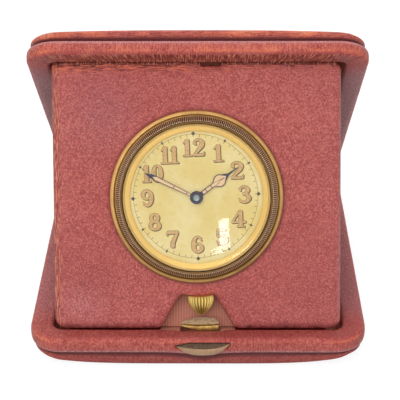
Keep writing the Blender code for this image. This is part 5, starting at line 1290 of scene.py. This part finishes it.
# The hook's pale, less metallic top is a painted reflection of the light on it
hook_brass = topped("hook_brass", tone(206, 172, 100), tone(120, 90, 44), tone(216, 184, 150), tone(172, 140, 110))
button_deck = [1, 1, 0.6] + [0] * 7
hook_deck = [0.6, 1, 1, 0.2] + [0] * 8
drawn_piece(
    "catch_button_worn", button_sections(), button_deck, button_bronze, "catch", "catch_button"
)
drawn_piece("catch_hook_blade", hook_sections(), hook_deck, hook_brass, "catch", "catch_hook")

# The solids that show as they are get the plain finish of their slot, or one of their own
for row in frame["record"]["subparts"]:
    mesh = bpy.data.objects[row["node"]].data
    finish = by_node.get(row["node"]) or by_slot[row["material_slot"]]
    mesh.materials.clear()
    mesh.materials.append(finish.material)
for node, angle in (("dial_ring", 30), ("crystal", 40), ("movement_case", 35), ("case_back", 30)):
    mesh = bpy.data.objects[node].data
    mesh.shade_smooth()
    mesh.set_sharp_from_angle(angle=math.radians(angle))


# ---------------------------------------------------------------- dial printing

NUMERAL_HEIGHT = 0.0044
NUMERAL_RADIUS = 0.01250
TRACK_RADIUS = 0.0160
PRINT_SHIFT = (-0.0002, 0.0003)
NUMERAL_WIDTHS = {"1": 0.50, "2": 0.70, "3": 0.68, "4": 0.74}
PLAIN_WIDTH = 0.66
# The strokes of each number, through points of x, y and width, as shares of its height
NUMERALS = {
    "0": [
        [
            (0.33, 0.95, 0.12), (0.17, 0.84, 0.19), (0.12, 0.5, 0.25), (0.17, 0.16, 0.19), (0.33, 0.05, 0.12),
            (0.49, 0.16, 0.19), (0.54, 0.5, 0.25), (0.49, 0.84, 0.19), (0.33, 0.95, 0.12),
        ],
    ],
    "1": [
        [(0.25, 0.05, 0.25), (0.25, 0.97, 0.25)],
        [(0.24, 0.93, 0.13), (0.14, 0.86, 0.10), (0.03, 0.76, 0.05)],
        [(0.0, 0.045, 0.09), (0.50, 0.045, 0.09)],
    ],
    "2": [
        [
            (0.14, 0.72, 0.17), (0.13, 0.83, 0.15), (0.24, 0.94, 0.13), (0.42, 0.94, 0.17), (0.56, 0.80, 0.27),
            (0.52, 0.60, 0.27), (0.34, 0.38, 0.20), (0.14, 0.14, 0.13),
        ],
        [(0.14, 0.715, 0.23), (0.145, 0.725, 0.23)],
        [(0.05, 0.075, 0.15), (0.64, 0.075, 0.15)],
        [(0.64, 0.08, 0.11), (0.67, 0.24, 0.06)],
    ],
    "3": [
        [
            (0.12, 0.80, 0.14), (0.24, 0.94, 0.12), (0.42, 0.92, 0.18), (0.52, 0.77, 0.25), (0.45, 0.60, 0.19),
            (0.27, 0.53, 0.11),
        ],
        [
            (0.27, 0.53, 0.11), (0.47, 0.47, 0.19), (0.57, 0.28, 0.27), (0.46, 0.10, 0.19), (0.26, 0.05, 0.12),
            (0.10, 0.14, 0.13),
        ],
        [(0.12, 0.775, 0.22), (0.125, 0.78, 0.22)],
        [(0.11, 0.20, 0.22), (0.115, 0.205, 0.22)],
    ],
    "4": [
        [(0.47, 0.05, 0.24), (0.47, 0.96, 0.24)],
        [(0.42, 0.96, 0.11), (0.06, 0.34, 0.10)],
        [(0.02, 0.31, 0.12), (0.72, 0.31, 0.12)],
        [(0.70, 0.24, 0.06), (0.70, 0.38, 0.06)],
        [(0.28, 0.045, 0.09), (0.67, 0.045, 0.09)],
    ],
    "5": [
        [(0.14, 0.92, 0.15), (0.56, 0.92, 0.15)],
        [(0.14, 0.92, 0.12), (0.12, 0.56, 0.10)],
        [
            (0.13, 0.54, 0.11), (0.28, 0.61, 0.14), (0.46, 0.56, 0.21), (0.55, 0.38, 0.27), (0.49, 0.16, 0.22),
            (0.30, 0.05, 0.13), (0.12, 0.12, 0.12),
        ],
        [(0.12, 0.20, 0.22), (0.125, 0.205, 0.22)],
    ],
    "6": [
        [
            (0.50, 0.84, 0.13), (0.36, 0.95, 0.12), (0.19, 0.83, 0.20), (0.12, 0.54, 0.26), (0.15, 0.22, 0.24),
            (0.33, 0.05, 0.14), (0.50, 0.17, 0.21), (0.54, 0.34, 0.22), (0.46, 0.50, 0.16), (0.32, 0.55, 0.10),
            (0.20, 0.47, 0.09),
        ],
        [(0.49, 0.78, 0.21), (0.495, 0.785, 0.21)],
    ],
    "7": [
        [(0.05, 0.89, 0.19), (0.58, 0.89, 0.19)],
        [(0.04, 0.90, 0.08), (0.03, 0.70, 0.05)],
        [(0.57, 0.88, 0.14), (0.43, 0.58, 0.20), (0.31, 0.30, 0.25), (0.28, 0.04, 0.26)],
    ],
    "8": [
        [
            (0.33, 0.95, 0.12), (0.18, 0.86, 0.19), (0.17, 0.66, 0.20), (0.33, 0.54, 0.12), (0.49, 0.66, 0.20),
            (0.48, 0.86, 0.19), (0.33, 0.95, 0.12),
        ],
        [
            (0.33, 0.53, 0.12), (0.14, 0.42, 0.21), (0.13, 0.18, 0.22), (0.33, 0.05, 0.13), (0.53, 0.18, 0.22),
            (0.52, 0.42, 0.21), (0.33, 0.53, 0.12),
        ],
    ],
}
NUMERALS["9"] = [[(PLAIN_WIDTH - x, 1 - y, width) for x, y, width in line] for line in NUMERALS["6"]]


def smooth_line(points, steps=7):
    """A smooth curve through points, three numbers each."""
    rows = np.array(points, dtype=float)
    if len(rows) < 3:
        return np.array([rows[0] + (rows[1] - rows[0]) * i / 3 for i in range(4)])
    closed = np.allclose(rows[0], rows[-1])
    before = rows[-2] if closed else rows[0] * 2 - rows[1]
    after = rows[1] if closed else rows[-1] * 2 - rows[-2]
    ends = np.vstack([before, rows, after])
    made = []
    for i in range(1, len(ends) - 2):
        a, b, c, d = ends[i - 1 : i + 3]
        for k in range(steps):
            t = k / steps
            square, cube = 2 * a - 5 * b + 4 * c - d, 3 * b - a - 3 * c + d
            made.append((2 * b + (c - a) * t + square * t**2 + cube * t**3) / 2)
    made.append(ends[-2])
    return np.array(made)


def ribbon(line, grow, low, high, round_ends=True):
    """A raised ribbon along a line of x, y and width, rounded over its width."""
    spots, widths = line[:, :2], line[:, 2] / 2 + grow
    run = np.gradient(spots, axis=0)
    run /= np.maximum(np.linalg.norm(run, axis=1), 1e-12)[:, None]
    across = np.stack([-run[:, 1], run[:, 0]], axis=1)
    if round_ends:
        caps = np.array([0.0, 0.5, 0.866])[:, None]
        narrowing = np.sqrt(1 - caps[:, 0] ** 2)
        first = spots[0] - run[0] * widths[0] * caps[::-1] * 0.5
        last = spots[-1] + run[-1] * widths[-1] * caps * 0.5
        spots = np.vstack([first, spots[1:-1], last])
        widths = np.concatenate([widths[0] * narrowing[::-1], widths[1:-1], widths[-1] * narrowing])
        across = np.vstack([[across[0]] * 3, across[1:-1], [across[-1]] * 3])
    shape = [(-1.0, 0.0), (-0.92, 0.55), (-0.62, 0.92), (0.0, 1.0), (0.62, 0.92), (0.92, 0.55), (1.0, 0.0)]
    verts, faces = [], []
    for spot, width, side in zip(spots, widths, across):
        for share, rise in shape:
            flat = spot + side * width * share
            verts.append((flat[0], flat[1], low + (high - low) * rise))
    n = len(shape)
    for i in range(len(spots) - 1):
        for k in range(n):
            a, b = i * n + k, i * n + (k + 1) % n
            faces.append((a, b, b + n, a + n))
    faces.append(tuple(range(n)))
    faces.append(tuple(range((len(spots) - 1) * n + n - 1, (len(spots) - 1) * n - 1, -1)))
    return verts, faces


def gather(parts):
    """The points and faces of many parts as one."""
    verts, faces = [], []
    for some_verts, some_faces in parts:
        base = len(verts)
        verts += list(some_verts)
        faces += [tuple(i + base for i in face) for face in some_faces]
    return verts, faces


def flat_piece(name, parts, finish, body, smooth=False, level=0.0):
    """A piece of thin parts over the dial, raised by level."""
    verts, faces = gather(parts)
    mesh = solid_mesh(name, [(x, y, z + level) for x, y, z in verts], faces)
    return piece(name, mesh, finish, body, CLOCK_PLACE, smooth=smooth, sharp=50 if smooth else None)


def numeral_lines(hour):
    """The strokes of an hour's number in metres, set upright on the dial."""
    digits = str(hour)
    gap = 0.06 if hour != 11 else 0.03
    widths = [NUMERAL_WIDTHS.get(digit, PLAIN_WIDTH) for digit in digits]
    total = sum(widths) + gap * (len(digits) - 1)
    angle = math.radians(90 - 30 * hour)
    size = NUMERAL_HEIGHT
    squeeze = 1.00 if len(digits) == 2 else 1.14
    x0 = PRINT_SHIFT[0] + NUMERAL_RADIUS * math.cos(angle) - total * size * squeeze / 2
    y0 = PRINT_SHIFT[1] + NUMERAL_RADIUS * math.sin(angle) - size / 2
    made = []
    for digit, width in zip(digits, widths):
        for line in NUMERALS[digit]:
            made.append(smooth_line(line) * (size * squeeze, size, size) + (x0, y0, 0))
        x0 += (width + gap) * size * squeeze
    return made


def plate_box(x, y, half_x, half_y, turn, low, high):
    """A thin box over the dial, turned about its middle."""
    c, s = math.cos(turn), math.sin(turn)
    flat = [(-half_x, -half_y), (half_x, -half_y), (half_x, half_y), (-half_x, half_y)]
    spots = [(x + a * c - b * s, y + a * s + b * c) for a, b in flat]
    verts = [(*spot, low) for spot in spots] + [(*spot, high) for spot in spots]
    faces = [(3, 2, 1, 0), (4, 5, 6, 7), (0, 1, 5, 4), (1, 2, 6, 5), (2, 3, 7, 6), (3, 0, 4, 7)]
    return verts, faces


number_fill = printed("number_paste", tone(216, 176, 120), tone(172, 130, 84), 0.0005)
# The numbers' dark outline, which also makes their painted shadow
number_outline_and_shadow = printed("number_outline_and_shadow", tone(74, 52, 30), tone(122, 92, 52), 0.0005)
track_ink = printed("track_ink", tone(104, 80, 44), tone(160, 132, 76), 0.0007)
marker_ink = printed("marker_ink", tone(58, 46, 32), tone(92, 74, 46), 0.0006)

fill_parts, edge_parts = [], []
for hour in range(1, 13):
    for order, line in enumerate(numeral_lines(hour)):
        lift = order * 0.0000015
        fill_parts.append(ribbon(line, -0.00002, 0.00001 + lift, 0.00010 + lift))
        # A painted shadow: the strokes again, moved to the lower right
        shadow = line + (0.00017, -0.00016, 0)
        edge_parts.append(ribbon(shadow, 0.00005, lift / 2, 0.000022 + lift))
        edge_parts.append(ribbon(line, 0.00007, lift / 2, 0.000018 + lift))
flat_piece("numbers_fill", fill_parts, number_fill, "clock_board", True, DIAL_FACE)
flat_piece("numbers_edge", edge_parts, number_outline_and_shadow, "clock_board", True, DIAL_FACE)


def on_track(outward, turn, half_x, half_y, high, twist=0.0):
    """A mark on the minute track, outward of its circle, at an angle round the dial."""
    radius = TRACK_RADIUS + outward
    x, y = PRINT_SHIFT[0] + radius * math.cos(turn), PRINT_SHIFT[1] + radius * math.sin(turn)
    return plate_box(x, y, half_x, half_y, turn + twist, 0.0, high)


turns = np.arange(361) * math.tau / 360
circle_line = np.stack([TRACK_RADIUS * np.cos(turns), TRACK_RADIUS * np.sin(turns), np.full(361, 0.00009)], axis=1)
circle_line[:, :2] += PRINT_SHIFT
track_parts = [ribbon(circle_line, 0, 0, 0.000008, round_ends=False)]
marker_parts = []
for minute in range(60):
    turn = math.radians(90 - 6 * minute)
    track_parts.append(on_track(-0.00036, turn, 0.00040, 0.00006, 0.000007))
    if minute % 15 == 0:
        marker_parts.append(on_track(0.00015, turn, 0.00040, 0.00040, 0.000014, math.pi / 4))
    elif minute % 5 == 0:
        marker_parts.append(on_track(0.00010, turn, 0.00034, 0.00022, 0.000013))
flat_piece("minute_track", track_parts, track_ink, "clock_board", level=DIAL_FACE)
flat_piece("hour_markers", marker_parts, marker_ink, "clock_board", level=DIAL_FACE)


# ---------------------------------------------------------------- hands

HOUR_AT = 0.9773844
MINUTE_AT = 5.1993358
HAND_EDGE = 0.00016
HAND_ROOM = 0.00004
PASTE_LOW, PASTE_HIGH = 0.00003, 0.00015
BAR_LOW, BAR_HIGH = 0.00004, 0.00019
hand_paste = printed("hand_paste", tone(242, 206, 164), tone(212, 166, 120), 0.0007)


def turned_points(points, angle):
    """Points of a hand that stands at 12, turned to its angle."""
    c, s = math.cos(-angle), math.sin(-angle)
    return [(x * c - y * s, x * s + y * c) for x, y in points]


def prism(points, low, high):
    """A flat outline, drawn out from low to high."""
    n = len(points)
    verts = [(x, y, low) for x, y in points] + [(x, y, high) for x, y in points]
    faces = [tuple(reversed(range(n))), tuple(range(n, 2 * n))]
    faces += [(i, (i + 1) % n, n + (i + 1) % n, n + i) for i in range(n)]
    return verts, faces


def mirrored(points):
    """The whole outline of a hand's opening from its right half."""
    return points + [(-x, y) for x, y in reversed(points)]


def hand_paste_part(outline, angle, foot):
    """The paste in a hand's opening. foot is the hand's underside."""
    return prism(turned_points(mirrored(outline), angle), foot + PASTE_LOW, foot + PASTE_HIGH)


def hand_bar(reach, half_x, half_y, angle, foot):
    """A bar across a hand's opening, at a distance from the dial's middle."""
    place = turned_points([(0, reach)], angle)[0]
    return plate_box(*place, half_x, half_y, -angle, foot + BAR_LOW, foot + BAR_HIGH)


foot = DIAL_FACE + 0.00105
slot = [(0.0004 - HAND_EDGE - HAND_ROOM, 0.00175), (0.00062 - HAND_EDGE - HAND_ROOM, MINUTE_REACH * 0.8)]
slot.append((0.00004, MINUTE_REACH * 0.862))
paste = [hand_paste_part(slot, MINUTE_AT, foot)]
flat_piece("minute_paste", paste, hand_paste, "minute")
bars = [hand_bar(reach, 0.00040, 0.00008, MINUTE_AT, foot) for reach in (0.0028, 0.0064)]
flat_piece("minute_bars", bars, blue_steel, "minute")

foot = DIAL_FACE + 0.00035
lobe_at, lobe = HOUR_REACH * 0.56, 0.00165
half_shaft = 0.00055 - HAND_EDGE - HAND_ROOM
opening = [(half_shaft, 0.0017 * 1.2), (half_shaft, lobe_at - lobe * 1.1)]
opening += bend(0, lobe_at, lobe - HAND_EDGE * 1.2 - HAND_ROOM, -58, 58)
opening.append((0.00004, HOUR_REACH * 0.722))
paste = [hand_paste_part(opening, HOUR_AT, foot)]
flat_piece("hour_paste", paste, hand_paste, "hour")
bars = [hand_bar(reach, 0.00050, 0.00009, HOUR_AT, foot) for reach in (0.0031, 0.0047)]
for side in (-1, 1):
    vein = ((0.00040, -0.95), (0.00034, -0.4), (0.0001, 0.2), (0.00002, 0.9))
    rows = smooth_line([(side * x, lobe_at + lobe * share, 0.00011) for x, share in vein], 4)
    rows[:, :2] = turned_points([tuple(row) for row in rows[:, :2]], HOUR_AT)
    bars.append(ribbon(rows, 0, foot + 0.00010, foot + 0.00018))
flat_piece("hour_bars", bars, blue_steel, "hour")

hub_profile = [(0.00090, 0.00376), (0.00090, 0.00402), (0.00102, 0.00414), (0.00124, 0.00416)]
hub_profile += [(0.00146, 0.00400), (0.00152, 0.00376)]
hub = loop_surface("hand_hub", lathe(hub_profile, 48), closed=True)
piece("hand_hub", hub, blue_steel, "minute", CLOCK_PLACE, sharp=45)
pin_steel = metal("pin_steel", tone(150, 166, 168), tone(110, 124, 122), 0.3, 0.5, 0.0006, 0.0001)
pin_profile = [(0.00088, 0.00378), (0.00088, 0.00398), (0.00080, 0.00410), (0.00060, 0.00418)]
pin_profile += [(0.00030, 0.00421), (0.00008, 0.00422)]
pin = loop_surface("hand_pin", lathe(pin_profile, 40))
piece("hand_pin", pin, pin_steel, "minute", CLOCK_PLACE, sharp=50)


# ---------------------------------------------------------------- floor, light and camera


SKY_LIGHT = 0.36
SEEING_RAYS = ("Is Camera Ray", "Is Glossy Ray", "Is Transmission Ray")


def lit_white(name, own, seen_own, glow):
    """White that the camera and every mirror see as white, and that still takes the object's shadow.

    own is how pale it is for the light that falls back from it, seen_own how pale it looks with the glow.
    """
    paint = Finish(name, Roughness=0.9, Base_Color=(own, own, own, 1.0))
    rays = paint.node("ShaderNodeLightPath")
    seen = [Value(paint, rays.outputs[kind]) for kind in SEEING_RAYS]
    sees = (seen[0] + seen[1] + seen[2]).between(0.0, 1.0)
    cloud = paint.noise(paint.place(), 0.4, 2.0)
    shade = paint.mix(cloud * 0.1, (own, own, own, 1.0), (own * 0.96, own * 0.96, own * 0.95, 1.0))
    paint.set(Base_Color=shade)
    dim = paint.node("ShaderNodeBsdfDiffuse", None, {"Color": (seen_own, seen_own, seen_own, 1.0)})
    shine = paint.node("ShaderNodeEmission", None, {"Color": (1, 1, 1, 1), "Strength": glow})
    both = paint.node("ShaderNodeAddShader", None, {0: dim.outputs[0], 1: shine.outputs[0]})
    mixed = paint.node("ShaderNodeMixShader", None, {0: sees, 1: paint.shader.outputs[0], 2: both.outputs[0]})
    paint.tree.links.new(mixed.outputs[0], paint.tree.nodes["Material Output"].inputs["Surface"])
    return paint


floor_mesh = bpy.data.meshes.new("floor")
floor_mesh.from_pydata([(-3, -3, 0), (3, -3, 0), (3, 3, 0), (-3, 3, 0)], [], [(0, 1, 2, 3)])
floor = bpy.data.objects.new("floor", floor_mesh)
bpy.context.scene.collection.objects.link(floor)
floor_mesh.materials.append(lit_white("floor_white", 0.40, 0.20, 0.88).material)

world = bpy.data.worlds.new("studio")
bpy.context.scene.world = world
world.use_nodes = True
sky = world.node_tree
back = sky.nodes["Background"]
back.inputs["Color"].default_value = (1.0, 1.0, 1.0, 1.0)
rays = sky.nodes.new("ShaderNodeLightPath")
total = rays.outputs[SEEING_RAYS[0]]
for kind in SEEING_RAYS[1:]:
    add = sky.nodes.new("ShaderNodeMath")
    add.operation = "MAXIMUM"
    sky.links.new(total, add.inputs[0])
    sky.links.new(rays.outputs[kind], add.inputs[1])
    total = add.outputs[0]
level = sky.nodes.new("ShaderNodeMapRange")
level.inputs["To Min"].default_value = SKY_LIGHT
level.inputs["To Max"].default_value = 1.0
sky.links.new(total, level.inputs["Value"])
sky.links.new(level.outputs[0], back.inputs["Strength"])


def softbox(name, place, aim, size, power, diffuse=True, glossy=True):
    """A soft rectangular lamp that looks at a spot."""
    lamp = bpy.data.lights.new(name, "AREA")
    lamp.shape = "RECTANGLE"
    lamp.size, lamp.size_y = size
    lamp.energy = power
    made = bpy.data.objects.new(name, lamp)
    bpy.context.scene.collection.objects.link(made)
    made.location = place
    made.rotation_euler = (Vector(aim) - Vector(place)).to_track_quat("-Z", "Y").to_euler()
    made.visible_diffuse = diffuse
    made.visible_glossy = glossy
    return made


softbox("key", (-0.25, -0.80, 0.74), (0, 0, 0.04), (1.0, 1.0), power=8.4, glossy=False)
softbox("top", (0.0, 0.45, 0.85), (0, 0, 0.06), (0.6, 0.6), power=3.4)
softbox("fill", (0.7, -0.7, 0.35), (0, 0, 0.04), (0.6, 0.6), power=1.5, glossy=False)

# The photo's camera: its direction, what it looks at, how far it is, and its lens by the picture's pixels
azimuth, elevation, roll = math.radians(0.549), math.radians(30.109), math.radians(-0.264)
CAMERA_TARGET = HINGE + Vector((0.000504, -0.0600, 0.02303))
CAMERA_AWAY = 0.33237
FILM_WIDTH = 36.0
FOCAL_PIXELS, PICTURE_PIXELS = 1228.84, 400.0
level_share = math.cos(elevation)
back_way = Vector((math.sin(azimuth) * level_share, -math.cos(azimuth) * level_share, math.sin(elevation)))
camera_spot = CAMERA_TARGET + back_way * CAMERA_AWAY
right = (-back_way).cross(Vector((0, 0, 1))).normalized()
above = right.cross(-back_way)
across = right * math.cos(roll) + above * math.sin(roll)
upward = above * math.cos(roll) - right * math.sin(roll)
lens = bpy.data.cameras.new("photo_view")
lens.sensor_width = FILM_WIDTH
lens.lens = FOCAL_PIXELS * FILM_WIDTH / PICTURE_PIXELS
lens.clip_start = 0.01
camera = bpy.data.objects.new("photo_view", lens)
bpy.context.scene.collection.objects.link(camera)
camera.matrix_world = axes(across, upward, back_way, camera_spot)
bpy.context.scene.camera = camera


def mirror_spot(place, faces, away):
    """Where a lamp stands, at a distance, for the camera to see it at a place that faces along a way."""
    faces = (CLOCK_PLACE.to_3x3() @ Vector(faces)).normalized()
    seen_from = (camera_spot - place).normalized()
    return place + (2 * faces.dot(seen_from) * faces - seen_from).normalized() * away


def glint(x, y, away):
    """Where a lamp stands to be seen in the crystal at a spot of the dial, at a distance."""
    radius = math.hypot(x, y)
    slope = CRYSTAL_RISE * CRYSTAL_POWER / CRYSTAL_EDGE * (radius / CRYSTAL_EDGE) ** (CRYSTAL_POWER - 1)
    place = CLOCK_PLACE @ Vector((x, y, crystal_level(radius)))
    return mirror_spot(place, (x / radius * slope, y / radius * slope, 1.0), away)


def window(name, ends, sides, away, glow):
    """A bright strip that only polished things mirror, placed by where the crystal shows it."""
    first, last = (glint(*end, away) for end in ends)
    left, right = (glint(*side, away) for side in sides)
    middle = (first + last) / 2
    size = ((left - right).length, (first - last).length)
    made = softbox(name, middle, CLOCK, size, glow * math.pi * size[0] * size[1], diffuse=False)
    long_way = (first - last).normalized()
    outward = (middle - CLOCK).normalized()
    wide_way = long_way.cross(outward).normalized()
    made.matrix_world = axes(wide_way, outward.cross(wide_way), outward, middle)
    made.visible_camera = False


window(
    "window_high", ((0.0069, -0.0056), (0.0070, -0.0142)), ((0.0057, -0.0100), (0.0081, -0.0094)), away=0.30, glow=9.5
)
window(
    "window_low", ((0.0066, -0.0143), (0.0022, -0.0166)), ((0.0037, -0.0144), (0.0053, -0.0168)), away=0.22, glow=13.0
)

# A wide lamp that shows in the dial ring's slope, below the dial
ring_foot = CLOCK_PLACE @ Vector((0.0030, -0.0175, 0.0034))
over_ring = mirror_spot(ring_foot, (-0.06, 0.64, 0.77), away=0.45)
ring_light = softbox("ring_light", over_ring, ring_foot, (0.9, 0.6), power=0.35, diffuse=False)
ring_light.visible_camera = False
bpy.context.scene.view_settings.view_transform = "Standard"
